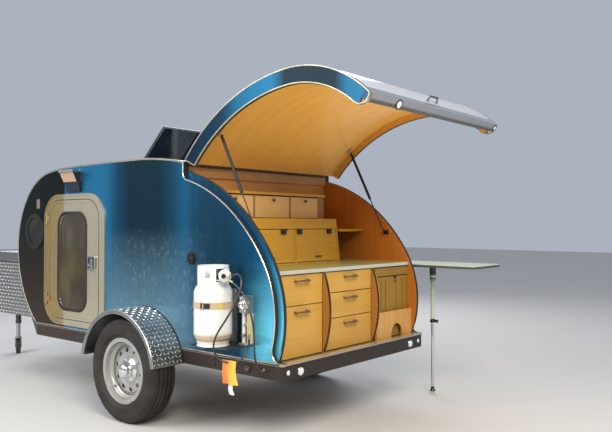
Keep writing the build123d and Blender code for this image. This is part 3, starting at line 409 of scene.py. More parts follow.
def hatchSkin():
    # The hatch: blue bands with painted reflection bands at its sides, bright sheet above and honey ply below
    finish = Finish("hatchSkin")
    base, rough, relief = skinColours(finish)
    band = finish.calc("ABSOLUTE", finish.mm(1)) > 741.5
    sideways = finish.calc("ABSOLUTE", finish.split(finish.facing, 1)) > 0.5
    above = finish.outward(-1343, 0, 1502)
    cloud = finish.noise(1.6, 4.0, (1, 1, 1), move=(4, 2, 0))
    figure = finish.noise(1.0, 4.0, (1.2, 9, 1.2), rough=0.55)
    pores = finish.noise(1.0, 3.0, (5, 190, 5), rough=0.7)
    wave = finish.calc("SINE", figure * 20.0) * 0.5 + 0.5
    grain = finish.step(0.4 * wave + 0.5 * (pores - 0.4), 0.0, 0.8)
    ply = finish.mix(grain * 0.5, (0.74, 0.405, 0.090), (0.58, 0.285, 0.050))
    ply = finish.mix(finish.step(cloud, 0.35, 0.75) * 0.35, ply, (0.62, 0.315, 0.065))
    lines = finish.noise(1.0, 4.0, (8, 240, 8), rough=0.6)
    sheet = finish.shade((0.84, 0.85, 0.87), finish.step(lines, 0.35, 0.8) * 0.25)
    along = finish.mm(0) + 90.0 * (cloud - 0.5)
    # painted reflection bands along the hatch's blue sides
    blue = finish.ramp(finish.step(along, *skin["bandSpan"]), skin["bandReflectionStops"])
    edge = finish.mix(above, (0.20, 0.085, 0.03), sheet)
    base = finish.mix(band, finish.mix(above, ply, sheet), finish.mix(sideways, edge, blue))
    rough = above * 0.02 + 0.26 + 0.1 * (cloud - 0.5)
    metallic = finish.calc("MAXIMUM", band * sideways * 0.65, above * 0.6)
    relief = finish.mix(above, pores, lines)
    return finish.close(base=base, roughness=rough, metallic=metallic, specular=0.15,
                        normal=finish.bump(relief, 0.1, 0.0006))


chrome, black, brass = (0.80, 0.80, 0.79), (0.012, 0.012, 0.012), (0.62, 0.42, 0.16)
honey, honeyDark = (0.62, 0.345, 0.095), (0.47, 0.225, 0.045)
valve = {"near": (-772, 905, 0), "radius": 32, "along": 2}


def cabinetFront(finish):
    # How far a place lies in front of the sloping cabinet face
    return (finish.mm(0) + 700) - (finish.mm(2) - 1012) * (37 / 310)


def insideRoof(finish):
    # The roof's faces that look down into the cabin
    return (finish.split(finish.facing, 2) < -0.3) * (finish.split(finish.facing, 0) < 0.25)


def doorReflectionZone(finish):
    # The front third of a door, where a darker painted reflection lies, with an uneven edge
    return finish.step(finish.mm(0) + 24 * finish.noise(1.0, 3.0, (9, 9, 0.6)), 1034, 1068)


finishes = {
    "side_rails": paint("frameBrown", (0.030, 0.016, 0.010), 0.5, 0.0, 0.0, 0.1, (0.10, 0.065, 0.04)),
    "coupler": metal("zincPlate", (0.55, 0.56, 0.57), 0.38),
    "fenders": metal("treadPlateMetal", (0.34, 0.345, 0.34), 0.34, (1, 1, 1), 0.35, 0.12),
    "floor": woodFinish("floorPly", (0.30, 0.22, 0.075), (0.20, 0.13, 0.040), 1),
    "wall_left": blueSkin(),
    "hatch_shell": hatchSkin(),
    "roof": metal("roofSkin", (0.62, 0.66, 0.69), 0.3, (0.3, 8, 8), layers=[
        (insideRoof, (0.55, 0.31, 0.09), 0.4, 0.0),
        (lambda finish: finish.split(finish.facing, 0) < -0.5, (0.50, 0.27, 0.08), 0.4, 0.0)]),
    "hatch_fixings": metal("hingeAluminium", (0.105, 0.080, 0.055), 0.5, (8, 0.3, 8), metallic=0.5, layers=[
        ({"x": (-1000, -800), "z": (1150, 1300)}, black, 0.4, 0.0)]),
    "bulkhead": woodFinish("backPly", (0.62, 0.33, 0.085), honeyDark, 1),
    "counter": plastic("counterTop", (0.35, 0.33, 0.10), 0.35, 0.05),
    "lower_cabinet": woodFinish("cabinetPly", honey, honeyDark, 2, layers=[
        ({"facing": (1, 0.6)}, (0.40, 0.17, 0.035), 0.3, 0.0)]),
    "upper_cabinet": woodFinish("amberPly", (0.57, 0.31, 0.028), (0.43, 0.21, 0.013), 1, knots=0.6, layers=[
        # painted shade: the shelf unit between the doors and the top board darkened to brown
        ({"z": (1322, 1483)}, (0.32, 0.17, 0.07), 0.4, 0.0)]),
    "icebox": plastic("iceboxTan", (0.30, 0.165, 0.020), 0.55, layers=[
        ({"z": (915.5, 925)}, (0.11, 0.055, 0.012), 0.6, 0.0)]),
    "door_frames": metal("doorStainless", (0.64, 0.57, 0.41), 0.32, (12, 12, 0.4), 0.2, 0.1, 0.85, layers=[
        # painted reflection: darker golden tone over the door's front third
        (doorReflectionZone, (0.50, 0.37, 0.17), 0.36, 0.9),
        ({"x": (600, 705), "y": (767, 800), "z": (938, 1052)}, chrome, 0.12, 1.0),
        ({"x": (600, 705), "y": (-800, -767), "z": (938, 1052)}, chrome, 0.12, 1.0)]),
    "porthole_rings": rubber("ringRubber", (0.008, 0.007, 0.006), 0.7, 0.1),
    "porthole_glass": smokedGlass("smokedGlass", (0.006, 0.005, 0.004), 0.94, (0.022, 0.018, 0.011), 0.35),
    "door_window_left": smokedGlass("doorGlass", (0.040, 0.026, 0.012), 0.9, (0.085, 0.070, 0.026), 0.35),
    "rear_bumper": paint("bumperBrown", (0.022, 0.012, 0.008), 0.5, 0.0, 0.0, 0.1, (0.08, 0.05, 0.03),
                         layers=[
        ({"z": (487.2, 500), "soft": 0.2}, (0.70, 0.58, 0.48), 0.3, 0.5)]),
    "lamps": plastic("lampClear", (0.70, 0.66, 0.52), 0.2, 0.3, layers=[
        ({"x": (-940, -890), "z": (410, 470)}, (0.045, 0.032, 0.022), 0.5, 0.0),
        ({"x": (1380, 1440), "z": (1400, 1480)}, (0.20, 0.13, 0.055), 0.5, 0.0),
        # the dark housing under the lens, with a faint painted blue reflection
        ({"z": (1500, 1597)}, (0.008, 0.016, 0.024), 0.35, 0.0),
        ({"z": (1597, 1667.5)}, (0.62, 0.42, 0.28), 0.35, 0.0),
        ({"z": (1519, 1667.5), "facing": (0, 0.5)}, black, 0.4, 0.0),
        ({"z": (1667.5, 1700)}, chrome, 0.15, 1.0)]),
    "vent_base": paint("ventWhite", (0.75, 0.76, 0.76), 0.35, dustHigh=0.01),
    "vent_lid": smokedGlass("ventSmoke", (0.010, 0.016, 0.026), 0.9, (0.020, 0.035, 0.050), 0.6),
    "tank": paint("tankWhite", (0.85, 0.84, 0.80), 0.28, coat=0.5, dustHigh=0.1, layers=[
        ({"z": (603, 652), "soft": 12}, (0.60, 0.46, 0.30), 0.6, 0.0),
        ({**valve, "z": (926, 1009)}, brass, 0.25, 1.0),
        ({**valve, "z": (1009, 1030)}, (0.50, 0.045, 0.01), 0.4, 0.0)]),
    "gas_bracket": metal("bracketGrey", (0.55, 0.53, 0.50), 0.35, layers=[
        ({"y": (795, 1030), "z": (797, 837)}, (0.58, 0.42, 0.26), 0.6, 0.0),
        ({"near": (-896, 931, 988), "radius": 62}, (0.80, 0.78, 0.74), 0.25, 0.25),
        ({"x": (-962, -944), "z": (590, 768)}, (0.66, 0.52, 0.27), 0.45, 0.0),
        ({"near": (-916, 796, 0), "radius": 12, "along": 2, "z": (588, 769)}, (0.82, 0.80, 0.76), 0.3, 0.0),
        # painted shadow: the tray under the gas bottle darkened as the shade it lies in
        ({"z": (571, 582.5)}, (0.030, 0.036, 0.042), 0.5, 0.3)]),
    "table": plastic("tableTop", (0.55, 0.64, 0.46), 0.3, 0.2, layers=[
        ({"z": (900, 986.5)}, (0.05, 0.055, 0.04), 0.5, 0.0)]),
    "table_leg": metal("legChrome", (0.75, 0.75, 0.74), 0.18),
    "hatch_metalwork": metal("lipAluminium", (0.74, 0.75, 0.77), 0.25, (8, 0.3, 8), layers=[
        ({"x": (-1790, -1735), "z": (1900, 1931), "soft": 7}, (0.17, 0.165, 0.16), 0.3, 0.9),
        ({"near": (-1708, 0, 2030), "radius": 61}, (0.15, 0.13, 0.11), 0.35, 0.8),
        ({"beyond": 760.5}, (0.006, 0.050, 0.100), 0.35, 0.65)]),
    "jack_tube": paint("jackBlack", (0.03, 0.028, 0.026), 0.45),
    "jack_ram": metal("ramZinc", (0.5, 0.5, 0.5), 0.35),
    "jack_caster": paint("forkBlack", (0.03, 0.028, 0.026), 0.45),
    "jack_wheel": rubber("casterTyre", (0.05, 0.045, 0.04), 0.55),
    "tyre_left": rubber("tyreRubber", (0.011, 0.0095, 0.0075), 0.66, 0.3),
    "rim_left": paint("rimSilver", (0.46, 0.45, 0.42), 0.3, 0.55, 0.4, dustHigh=0.5, layers=[
        ({"near": (0, 0, 335), "radius": 80, "along": 1, "beyond": 916}, chrome, 0.08, 1.0)]),
    "strut_tube_left": paint("strutBlack", (0.006, 0.006, 0.006), 0.55, coat=0.0, wear=0.05, dustHigh=0.01),
    "strut_rod_left": metal("strutRod", (0.045, 0.045, 0.048), 0.35),
    "drawer_left_low": woodFinish("drawerBirch", (0.60, 0.345, 0.072), (0.48, 0.245, 0.040), 1, layers=[
        (lambda finish: finish.mm(0) < -1100.5, (0.30, 0.22, 0.11), 0.4, 0.7)]),
    "cabinet_door_left": woodFinish("doorAmber", (0.58, 0.325, 0.030), (0.45, 0.22, 0.014), 1, 0.5, layers=[
        (lambda finish: cabinetFront(finish) < -1.0, (0.26, 0.15, 0.06), 0.35, 0.7)]),
    "shelf_drawer_left": paint("trayCream", (0.68, 0.43, 0.150), 0.55, coat=0.05, dustHigh=0.01, layers=[
        (lambda finish: finish.mm(0) < -563, (0.14, 0.07, 0.03), 0.4, 0.0)]),
}
sameAs = {
    "tongue_box_fixings": "coupler", "cross_members": "side_rails", "tongue_rails": "side_rails",
    "axle": "side_rails", "tongue_box": "fenders", "tongue_box_lid": "fenders", "hose_long": "porthole_rings",
    "hose_short": "porthole_rings", "door_left": "door_frames", "shelf_drawer_middle": "shelf_drawer_left",
}


def finishOf(name):
    # Both sides share one finish, and so do like nodes
    source = name.replace("_right", "_left")
    if name.startswith("drawer_"):
        source = "drawer_left_low"
    return finishes[sameAs.get(source, source)]


for name in nodes:
    for slot in nodes[name].material_slots:
        slot.material = finishOf(name)
print("finishes done:", len(bpy.data.materials))


# Mesh helpers
def unit(a, b):
    return (Vector(b) - Vector(a)).normalized()


def turns(count):
    # The angles of evenly spread points round a circle
    return [2 * math.pi * index / count for index in range(count)]


def bulb(out, y, wide, high):
    # The round section of a seal
    return [(out + wide * math.cos(turn), y + high * math.sin(turn)) for turn in turns(8)]


def spaced(path, gap, start=None):
    # Places along a path, one for each gap, the first half a gap from its end
    places, travelled = [], 0.0
    wanted = gap / 2 if start is None else start
    for first, second in zip(path, path[1:]):
        length = math.dist(first, second)
        while length and wanted <= travelled + length:
            share = (wanted - travelled) / length
            places.append(tuple(a + (b - a) * share for a, b in zip(first, second)))
            wanted += gap
        travelled += length
    return places


class Maker:
    # Gathers the faces of one piece; places are in millimetres
    def __init__(self):
        self.shape = bmesh.new()

    def rings(self, rings, closed=False):
        # Skins a row of rings that have the same number of points
        made = [[self.shape.verts.new(at(*point)) for point in ring] for ring in rings]
        count = len(made[0])
        pairs = list(zip(made, made[1:])) + ([(made[-1], made[0])] if closed else [])
        for first, second in pairs:
            for index in range(count):
                after = (index + 1) % count
                self.shape.faces.new((first[index], first[after], second[after], second[index]))
        if not closed:
            self.shape.faces.new(list(reversed(made[0])))
            self.shape.faces.new(made[-1])

    def box(self, x, y, z, bevel=0.0):
        # A block between two x, y and z values, its edges cut by the bevel
        levels = [(z[0], 0), (z[1], 0)]
        if bevel:
            levels = [(z[0], bevel), (z[0] + bevel, 0), (z[1] - bevel, 0), (z[1], bevel)]
        rings = []
        for level, inset in levels:
            x0, x1, y0, y1 = x[0] + inset, x[1] - inset, y[0] + inset, y[1] - inset
            corners = [(x0, y0), (x1, y0), (x1, y1), (x0, y1)]
            if bevel:
                corners = [(x0 + bevel, y0), (x1 - bevel, y0), (x1, y0 + bevel), (x1, y1 - bevel),
                           (x1 - bevel, y1), (x0 + bevel, y1), (x0, y1 - bevel), (x0, y0 + bevel)]
            rings.append([(px, py, level) for px, py in corners])
        self.rings(rings)

    def sweepFlat(self, path, section, closed=False, side=1):
        # Follows a path in (x, z); the section is (out of the path, y)
        count = len(path)
        rings = []
        for index, (x, z) in enumerate(path):
            before = path[(index - 1) % count] if closed or index else path[index]
            after = path[(index + 1) % count] if closed or index < count - 1 else path[index]
            dx, dz = after[0] - before[0], after[1] - before[1]
            size = math.hypot(dx, dz) or 1
            nx, nz = dz / size, -dx / size
            rings.append([(x + nx * out, y * side, z + nz * out) for out, y in section])
        self.rings(rings, closed)

    def tube(self, points, radius, sides=10, closed=False):
        # A round bar along points; the radius may be one number or one for each point
        points = [Vector(point) for point in points]
        count = len(points)
        radii = radius if isinstance(radius, (list, tuple)) else [radius] * count
        side = None
        rings = []
        for index, point in enumerate(points):
            before = points[(index - 1) % count] if closed or index else point
            after = points[(index + 1) % count] if closed or index < count - 1 else point
            along = (after - before).normalized()
            if side is None:
                side = along.orthogonal().normalized()
            side = (side - along * side.dot(along)).normalized()
            up = along.cross(side)
            rings.append([point + radii[index] * (math.cos(turn) * side + math.sin(turn) * up)
                          for turn in turns(sides)])
        self.rings(rings, closed)

    def lathe(self, centre, axis, profile, steps=32, hollow=False):
        # Turns (radius, height) pairs about an axis through the centre
        centre, axis = Vector(centre), Vector(axis).normalized()
        side = axis.orthogonal().normalized()
        up = axis.cross(side)
        rings = []
        for radius, height in profile:
            middle, wide = centre + axis * height, max(radius, 0.01)
            rings.append([middle + wide * (math.cos(turn) * side + math.sin(turn) * up)
                          for turn in turns(steps)])
        self.rings(rings, hollow)

    def prism(self, outline, low, high, bevel, side):
        # An outline in (x, z) between two y values, with bevelled edges on the high side
        def ring(grow, y):
            count = len(outline)
            made = []
            for index in range(count):
                before, point, after = outline[index - 1], outline[index], outline[(index + 1) % count]
                dx, dz = after[0] - before[0], after[1] - before[1]
                size = math.hypot(dx, dz) or 1
                made.append((point[0] - dz / size * grow, y * side, point[1] + dx / size * grow))
            return made
        self.rings([ring(0, low), ring(0, high - bevel), ring(bevel, high)])

    def mirror(self):
        # Adds the same faces on the trailer's other side
        made = bmesh.ops.duplicate(self.shape, geom=self.shape.verts[:] + self.shape.faces[:])["geom"]
        twins = [item for item in made if isinstance(item, bmesh.types.BMVert)]
        for vert in twins:
            vert.co.y = -vert.co.y
        bmesh.ops.reverse_faces(self.shape,
                                faces=[item for item in made if isinstance(item, bmesh.types.BMFace)])

    def place(self, turn):
        # Moves all points by a function from place to place
        for vert in self.shape.verts:
            vert.co = turn(vert.co)

    def loose(self, name):
        # The plain mesh, with its faces turned outwards
        bmesh.ops.recalc_face_normals(self.shape, faces=self.shape.faces)
        mesh = bpy.data.meshes.new(name)
        self.shape.to_mesh(mesh)
        self.shape.free()
        return mesh

    def done(self, name, material, body="root", sharp=35):
        return finishPiece(name, self.loose(name), material, body, sharp)


def finishPiece(name, mesh, material, body="root", sharp=35):
    # Makes the object: material, shading and the body that it rides on
    piece = bpy.data.objects.new(name, mesh)
    bpy.context.scene.collection.objects.link(piece)
    mesh.materials.clear()
    mesh.materials.append(material)
    mesh.shade_smooth()
    mesh.set_sharp_from_angle(angle=math.radians(sharp))
    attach(piece, body)
    return piece


# The body's side outline
outline = {
    "half": 762,
    "base": 487,
    "crown": (150, 1727),
    "frontArcs": [(27600, 1.8), (1700, 9.0), (523, 41.5), (658, 37.8), (763, 52.5)],
    "rearArcs": [(2805, 8.3), (1228, 50.7), (730, 60.0)],
    "hinge": (-342, 1684),
    "hatchOpen": 65,
    "hatchFront": -348,
    "roofEnd": -336,
    "hatchLow": 500,
    "wallFoot": 494,
}


def outlineRun(inset, rear, low, step=22.0):
    # Points of the outline from the crown to the low height, moved in by the inset
    sign = 1 if rear else -1
    angle = 180.0 if rear else 0.0
    normal = math.radians(angle + 90 * sign)
    x = outline["crown"][0] + math.cos(normal) * inset
    z = outline["crown"][1] + math.sin(normal) * inset
    points = [(x, z)]
    for radius, turn in outline["rearArcs" if rear else "frontArcs"]:
        reach = radius - inset
        normal = math.radians(angle + 90 * sign)
        cx, cz = x + math.cos(normal) * reach, z + math.sin(normal) * reach
        count = max(3, int(math.radians(turn) * radius / step))
        for index in range(1, count + 1):
            swing = math.radians(angle - 90 * sign + turn * sign * index / count)
            x, z = cx + math.cos(swing) * reach, cz + math.sin(swing) * reach
            if z < low:
                px, pz = points[-1]
                share = (pz - low) / (pz - z)
                points.append((px + (x - px) * share, low))
                return points
            points.append((x, z))
        angle += turn * sign
    points.append((x, low))
    return points


def crossing(points, axis, value):
    # Where a run of points first passes a value of x (axis 0) or z (axis 1)
    for index, (first, second) in enumerate(zip(points, points[1:])):
        if (first[axis] - value) * (second[axis] - value) <= 0 and first[axis] != second[axis]:
            share = (value - first[axis]) / (second[axis] - first[axis])
            return index, tuple(a + (b - a) * share for a, b in zip(first, second))
    return len(points) - 1, points[-1]


def bandPath(inset, low, corner, top=None):
    # Down the inset line, round the foot's corner and out to the outline
    run = outlineRun(inset, True, low)
    start, first = crossing(run, 0, outline["hatchFront"] if top is None else top)
    centreRun = outlineRun(inset - corner, True, low)
    _, centre = crossing(centreRun, 1, low + corner)
    tangent = min(range(len(run)), key=lambda index: math.dist(run[index], centre))
    path = [first] + [point for point in run[start + 1:] if point[1] > run[tangent][1]]
    begin = math.atan2(run[tangent][1] - centre[1], run[tangent][0] - centre[0])
    for index in range(9):
        turn = begin + (-math.pi / 2 - begin) * index / 8
        path.append((centre[0] + corner * math.cos(turn), centre[1] + corner * math.sin(turn)))
    path.append((outlineRun(0, True, low)[-1][0], low))
    return path


def opened(point):
    # A closed hatch's point, turned to the open hatch
    turn = math.radians(outline["hatchOpen"])
    dx, dz = point[0] - outline["hinge"][0], point[1] - outline["hinge"][1]
    x = outline["hinge"][0] + dx * math.cos(turn) + dz * math.sin(turn)
    return x, outline["hinge"][1] - dx * math.sin(turn) + dz * math.cos(turn)


def roundRect(x, z, corners, grow=0.0, steps=8):
    # A closed path in (x, z) with a radius for the low rear, high rear, high front and low front corners
    rear, front, low, high = x[0] - grow, x[1] + grow, z[0] - grow, z[1] + grow
    places = [(rear, low), (rear, high), (front, high), (front, low)]
    path = []
    for index, ((px, pz), corner) in enumerate(zip(places, corners)):
        radius = corner + grow
        cx = px + radius * (1 if index < 2 else -1)
        cz = pz + radius * (1 if index in (0, 3) else -1)
        start = math.radians(270 - 90 * index)
        for step in range(steps + 1):
            turn = start - math.pi / 2 * step / steps
            path.append((cx + radius * math.cos(turn), cz + radius * math.sin(turn)))
    return path[::-1]


# Geometry node trees for what repeats
class Growth(Graph):
    # A Geometry Nodes tree with named inputs; its flow comes in as "Geometry"
    def __init__(self, name, inputs):
        self.tree = bpy.data.node_groups.new(name, "GeometryNodeTree")
        face = self.tree.interface
        face.new_socket("Geometry", in_out="INPUT", socket_type="NodeSocketGeometry")
        for label, kind, value in inputs:
            socket = face.new_socket(label, in_out="INPUT", socket_type="NodeSocket" + kind)
            if value is not None:
                socket.default_value = value
        face.new_socket("Geometry", in_out="OUTPUT", socket_type="NodeSocketGeometry")
        entry = self.tree.nodes.new("NodeGroupInput")
        self.given = {output.name: Flow(self, output) for output in entry.outputs if output.name}

    def finish(self, geometry):
        # Real mesh and its finish, so that the export keeps it
        real = self.node("GeometryNodeRealizeInstances", None, {"Geometry": geometry})
        dressed = self.node("GeometryNodeSetMaterial", None,
                            {"Geometry": real, "Material": self.given["Material"]})
        out = self.tree.nodes.new("NodeGroupOutput")
        self.tree.links.new(dressed.socket, out.inputs[0])
        return self.tree


def grown(tree, mesh, values):
    # Runs a tree on a mesh and gives back the plain mesh
    holder = bpy.data.objects.new("holder", mesh)
    bpy.context.scene.collection.objects.link(holder)
    modifier = holder.modifiers.new("growth", "NODES")
    modifier.node_group = tree
    for item in tree.interface.items_tree:
        if item.in_out == "INPUT" and item.name in values:
            modifier[item.identifier] = values[item.name]
    ready = holder.evaluated_get(bpy.context.evaluated_depsgraph_get())
    made = bpy.data.meshes.new_from_object(ready)
    holder.modifiers.remove(modifier)
    bpy.data.objects.remove(holder)
    return made


def joined(name, meshes, material, body="root", sharp=35):
    # One piece from several plain meshes
    shape = bmesh.new()
    for mesh in meshes:
        shape.from_mesh(mesh)
    made = bpy.data.meshes.new(name)
    shape.to_mesh(made)
    shape.free()
    return finishPiece(name, made, material, body, sharp)


def makeLugTree():
    # A chequered sheet of low bars, alternately turned, that may be wrapped round an arc
    tree = Growth("treadLugs", [
        ("Length", "Float", 1.0), ("Width", "Float", 0.3), ("Pitch", "Float", 0.032),
        ("Bend Radius", "Float", 0.0),
        ("Bar Length", "Float", 0.026), ("Bar Width", "Float", 0.007), ("Bar Height", "Float", 0.0016),
        ("Material", "Material", None)])
    given = tree.given
    across = tree.node("FunctionNodeFloatToInt", {"rounding_mode": "FLOOR"},
                       {0: given["Length"] / given["Pitch"]})
    down = tree.node("FunctionNodeFloatToInt", {"rounding_mode": "FLOOR"},
                     {0: given["Width"] / given["Pitch"]})
    size = {"Size X": given["Length"] - given["Pitch"], "Size Y": given["Width"] - given["Pitch"],
            "Vertices X": across, "Vertices Y": down}
    grid = tree.node("GeometryNodeMeshGrid", None, size)
    points = tree.node("GeometryNodeMeshToPoints", None, {"Mesh": grid})
    index = tree.node("GeometryNodeInputIndex")
    column = tree.calc("FLOOR", index / down)
    row = index - column * down
    odd = tree.calc("MODULO", row + column, 2.0)
    turn = tree.node("ShaderNodeCombineXYZ", None, {2: odd * (math.pi / 2) + math.pi / 4})
    bar = tree.node("GeometryNodeMeshCone", None,
                    {"Vertices": 6, "Radius Top": 0.55, "Radius Bottom": 1.0, "Depth": 1.0})
    size = tree.node("ShaderNodeCombineXYZ", None,
                     {0: given["Bar Length"] * 0.5, 1: given["Bar Width"] * 0.5,
                      2: given["Bar Height"] * 1.3})
    laid = tree.node("GeometryNodeInstanceOnPoints", None,
                     {"Points": points, "Instance": bar, "Rotation": turn, "Scale": size})
    real = tree.node("GeometryNodeRealizeInstances", None, {"Geometry": laid})
    place = tree.node("GeometryNodeInputPosition")
    x, y, z = [tree.split(place, axis) for axis in range(3)]
    z = z + given["Bar Height"] * 0.3
    radius = given["Bend Radius"]
    safe = tree.calc("MAXIMUM", radius, 0.001)
    bentX = tree.calc("SINE", x / safe) * (safe + z)
    bentZ = tree.calc("COSINE", x / safe) * (safe + z)
    bent = tree.node("ShaderNodeCombineXYZ", None, {0: bentX, 1: y, 2: bentZ})
    straight = tree.node("ShaderNodeCombineXYZ", None, {0: x, 1: y, 2: z})
    chosen = tree.node("GeometryNodeSwitch", {"input_type": "VECTOR"},
                       {0: radius > 0.001, 1: straight, 2: bent})
    moved = tree.node("GeometryNodeSetPosition", None, {"Geometry": real, "Position": chosen})
    return tree.finish(moved)


def makeStudTree():
    # A low domed head at each point, standing along the point's own direction
    tree = Growth("studs", [("Radius", "Float", 0.004), ("Height", "Float", 0.002), ("Sides", "Int", 10),
                            ("Material", "Material", None)])
    given = tree.given
    points = tree.node("GeometryNodeMeshToPoints", None, {"Mesh": given["Geometry"]})
    way = tree.node("GeometryNodeInputNamedAttribute", {"data_type": "FLOAT_VECTOR"}, {"Name": "way"})
    turn = tree.node("FunctionNodeAlignRotationToVector", {"axis": "Z"}, {"Vector": way})
    foot = tree.node("GeometryNodeMeshCone", None, {
        "Vertices": given["Sides"], "Side Segments": 1, "Fill Segments": 1, "Radius Top": 0.72,
        "Radius Bottom": 1.0, "Depth": 1.0})
    size = tree.node("ShaderNodeCombineXYZ", None,
                     {0: given["Radius"], 1: given["Radius"], 2: given["Height"]})
    laid = tree.node("GeometryNodeInstanceOnPoints", None,
                     {"Points": points, "Instance": foot, "Rotation": turn, "Scale": size})
    return tree.finish(laid)


def makeRingTree():
    # Copies of the incoming mesh, turned round the Y axis through the origin
    tree = Growth("ringOf", [("Count", "Int", 8), ("Start", "Float", 0.0), ("Material", "Material", None)])
    given = tree.given
    points = tree.node("GeometryNodePoints", None, {"Count": given["Count"]})
    index = tree.node("GeometryNodeInputIndex")
    turn = tree.node("ShaderNodeCombineXYZ", None,
                     {1: index * (2 * math.pi) / given["Count"] + given["Start"]})
    laid = tree.node("GeometryNodeInstanceOnPoints", None,
                     {"Points": points, "Instance": given["Geometry"], "Rotation": turn})
    return tree.finish(laid)


def makeRowTree():
    # Copies of the incoming mesh in a straight row
    tree = Growth("rowOf", [("Count", "Int", 5), ("Step", "Vector", (0.05, 0.0, 0.0)),
                            ("Material", "Material", None)])
    given = tree.given
    line = tree.node("GeometryNodeMeshLine", None,
                     {"Count": given["Count"], "Start Location": (0.0, 0.0, 0.0), "Offset": given["Step"]})
    laid = tree.node("GeometryNodeInstanceOnPoints", None, {"Points": line, "Instance": given["Geometry"]})
    return tree.finish(laid)


trees = {"lugs": makeLugTree(), "studs": makeStudTree(), "ring": makeRingTree(), "row": makeRowTree()}


def studs(name, places, radius, height, material, body="root", sides=10):
    # Screw or rivet heads; places are (x, y, z, direction)
    mesh = bpy.data.meshes.new(name)
    mesh.from_pydata([at(*place[:3]) for place in places], [], [])
    ways = mesh.attributes.new("way", "FLOAT_VECTOR", "POINT")
    for index, place in enumerate(places):
        ways.data[index].vector = place[3]
    values = {"Radius": radius / 1000, "Height": height / 1000, "Sides": sides, "Material": material}
    return joined(name, [grown(trees["studs"], mesh, values)], material, body)


def lugSheet(length, width, pitch, material, place, bend, bar):
    # One chequered sheet, moved to its place by a matrix
    sizes = {"Length": length, "Width": width, "Pitch": pitch, "Bend Radius": bend,
             "Bar Length": bar[0], "Bar Width": bar[1], "Bar Height": bar[2]}
    values = {label: size / 1000 for label, size in sizes.items()}
    mesh = grown(trees["lugs"], bpy.data.meshes.new("sheet"), {**values, "Material": material})
    mesh.transform(place)
    return mesh


def turned(x, y, z, xWay, zWay):
    # A matrix that puts a sheet's centre at a place, its length along xWay and its face along zWay
    across = Vector(zWay).cross(Vector(xWay))
    turn = Matrix((Vector(xWay), across, Vector(zWay))).transposed()
    return Matrix.Translation(at(x, y, z)) @ turn.to_4x4()


# The two gas hoses
hoses = {
    "radius": 5.5,
    "long": [
        (-930, 940, 985), (-984, 940, 1003), (-1036, 952, 1006), (-1074, 972, 972), (-1078, 992, 910),
        (-1050, 1015, 828), (-1003, 1034, 748), (-950, 1041, 680), (-908, 1032, 612), (-896, 1006, 550),
        (-930, 968, 506), (-990, 934, 506), (-1034, 900, 550), (-1014, 850, 600), (-968, 806, 634)],
    "short": [
        (-928, 926, 966), (-992, 920, 935), (-1055, 922, 872), (-1096, 925, 792), (-1120, 927, 715),
        (-1121, 922, 640), (-1104, 905, 570), (-1082, 868, 505), (-1058, 812, 462), (-1045, 765, 446)],
    "lengths": {"long": 0.934, "short": 0.673},
    # a crimped sleeve and its tapered guard: radius, distance from the hose's end
    "sleeve": [(5.4, 30), (6.3, 29), (6.8, 12), (8.2, 11), (8.6, 8), (7.9, 6), (8.9, 4), (8.9, 1), (7.9, 0),
               (6, -0.5)],
}


def hoseRubber():
    # Black rubber over a woven core: two crossed sets of ridges that follow the hose
    finish = Finish("hoseRubber")
    along, across = finish.split(finish.uv, 0) * 620.0, finish.split(finish.uv, 1) * 37.7
    weave = finish.calc("SINE", along + across) * finish.calc("SINE", along - across)
    cloud = finish.noise(14.0, 4.0)
    base = finish.mix(finish.step(cloud, 0.4, 0.75) * 0.5, (0.014, 0.014, 0.015), (0.075, 0.07, 0.062))
    return finish.close(base=base, roughness=0.34 + 0.2 * (cloud - 0.5), coat=0.4, coatRoughness=0.2,
                        normal=finish.bump(weave, 0.25, 0.0004))


def makeHose(name, route, material):
    curve = bpy.data.curves.new(name, "CURVE")
    curve.dimensions = "3D"
    spline = curve.splines.new("NURBS")
    spline.points.add(len(route) - 1)
    for point, place in zip(spline.points, route):
        point.co = (*at(*place), 1)
    spline.order_u = 3
    spline.use_endpoint_u = True
    spline.resolution_u = 14
    curve.bevel_depth = hoses["radius"] / 1000
    curve.bevel_resolution = 5
    curve.use_fill_caps = True
    curve.materials.append(material)
    hose = bpy.data.objects.new(name, curve)
    bpy.context.scene.collection.objects.link(hose)
    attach(hose, "root")
    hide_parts(name)
    at(*route[0])
    return hose


def hoseFittings(name, route, material):
    # Crimped sleeves with a tapered guard at both ends
    maker = Maker()
    for end, inside in ((route[0], route[1]), (route[-1], route[-2])):
        maker.lathe(end, unit(end, inside), hoses["sleeve"], 20)
    return maker.done(name, material)


hoseFinish = hoseRubber()
crimpBrass = metal("crimpBrass", (0.58, 0.46, 0.24), 0.28)
for label in ("long", "short"):
    sleeves = hoseFittings("hoseSleeves_" + label, hoses[label], crimpBrass)
    makeHose("hose_" + label, hoses[label], hoseFinish)
print("hoses done")


# Trims on the body's edges
trims = {
    "roofSide": 11,             # width on the side skin
    "roofOver": 22,             # width on the roof
    "proud": 2.2,
    "seamWidth": 9,
    "seamInset": 104,           # from the outline to the opening's edge
    "seamCorner": 66,
    "seamTop": (30, 48),        # the rounded corner at the opening's top: along, down
    "ledgeInset": 58,
    "ledgeCorner": 20,
    "bandEdge": 7,
    "bandInset": 98,
    "bandCorner": 60,
    "sillStrips": ((488.5, 496.8, 3.2), (479, 483, 2.2)),       # low, high, proud of the skin
    "sillCap": (481, 495.5),
    "sillRear": (484, 494.5),
    "rearFace": -1197.5,
}
trimFinish = metal("trimAluminium", (0.66, 0.62, 0.50), 0.32, (6, 6, 6), 0.2, 0.08)
edgeFinish = metal("edgeAluminium", (0.42, 0.38, 0.27), 0.4, (6, 6, 6), 0.25, 0.08)
sealFinish = rubber("sealRubber", (0.010, 0.010, 0.011), 0.5, 0.2)


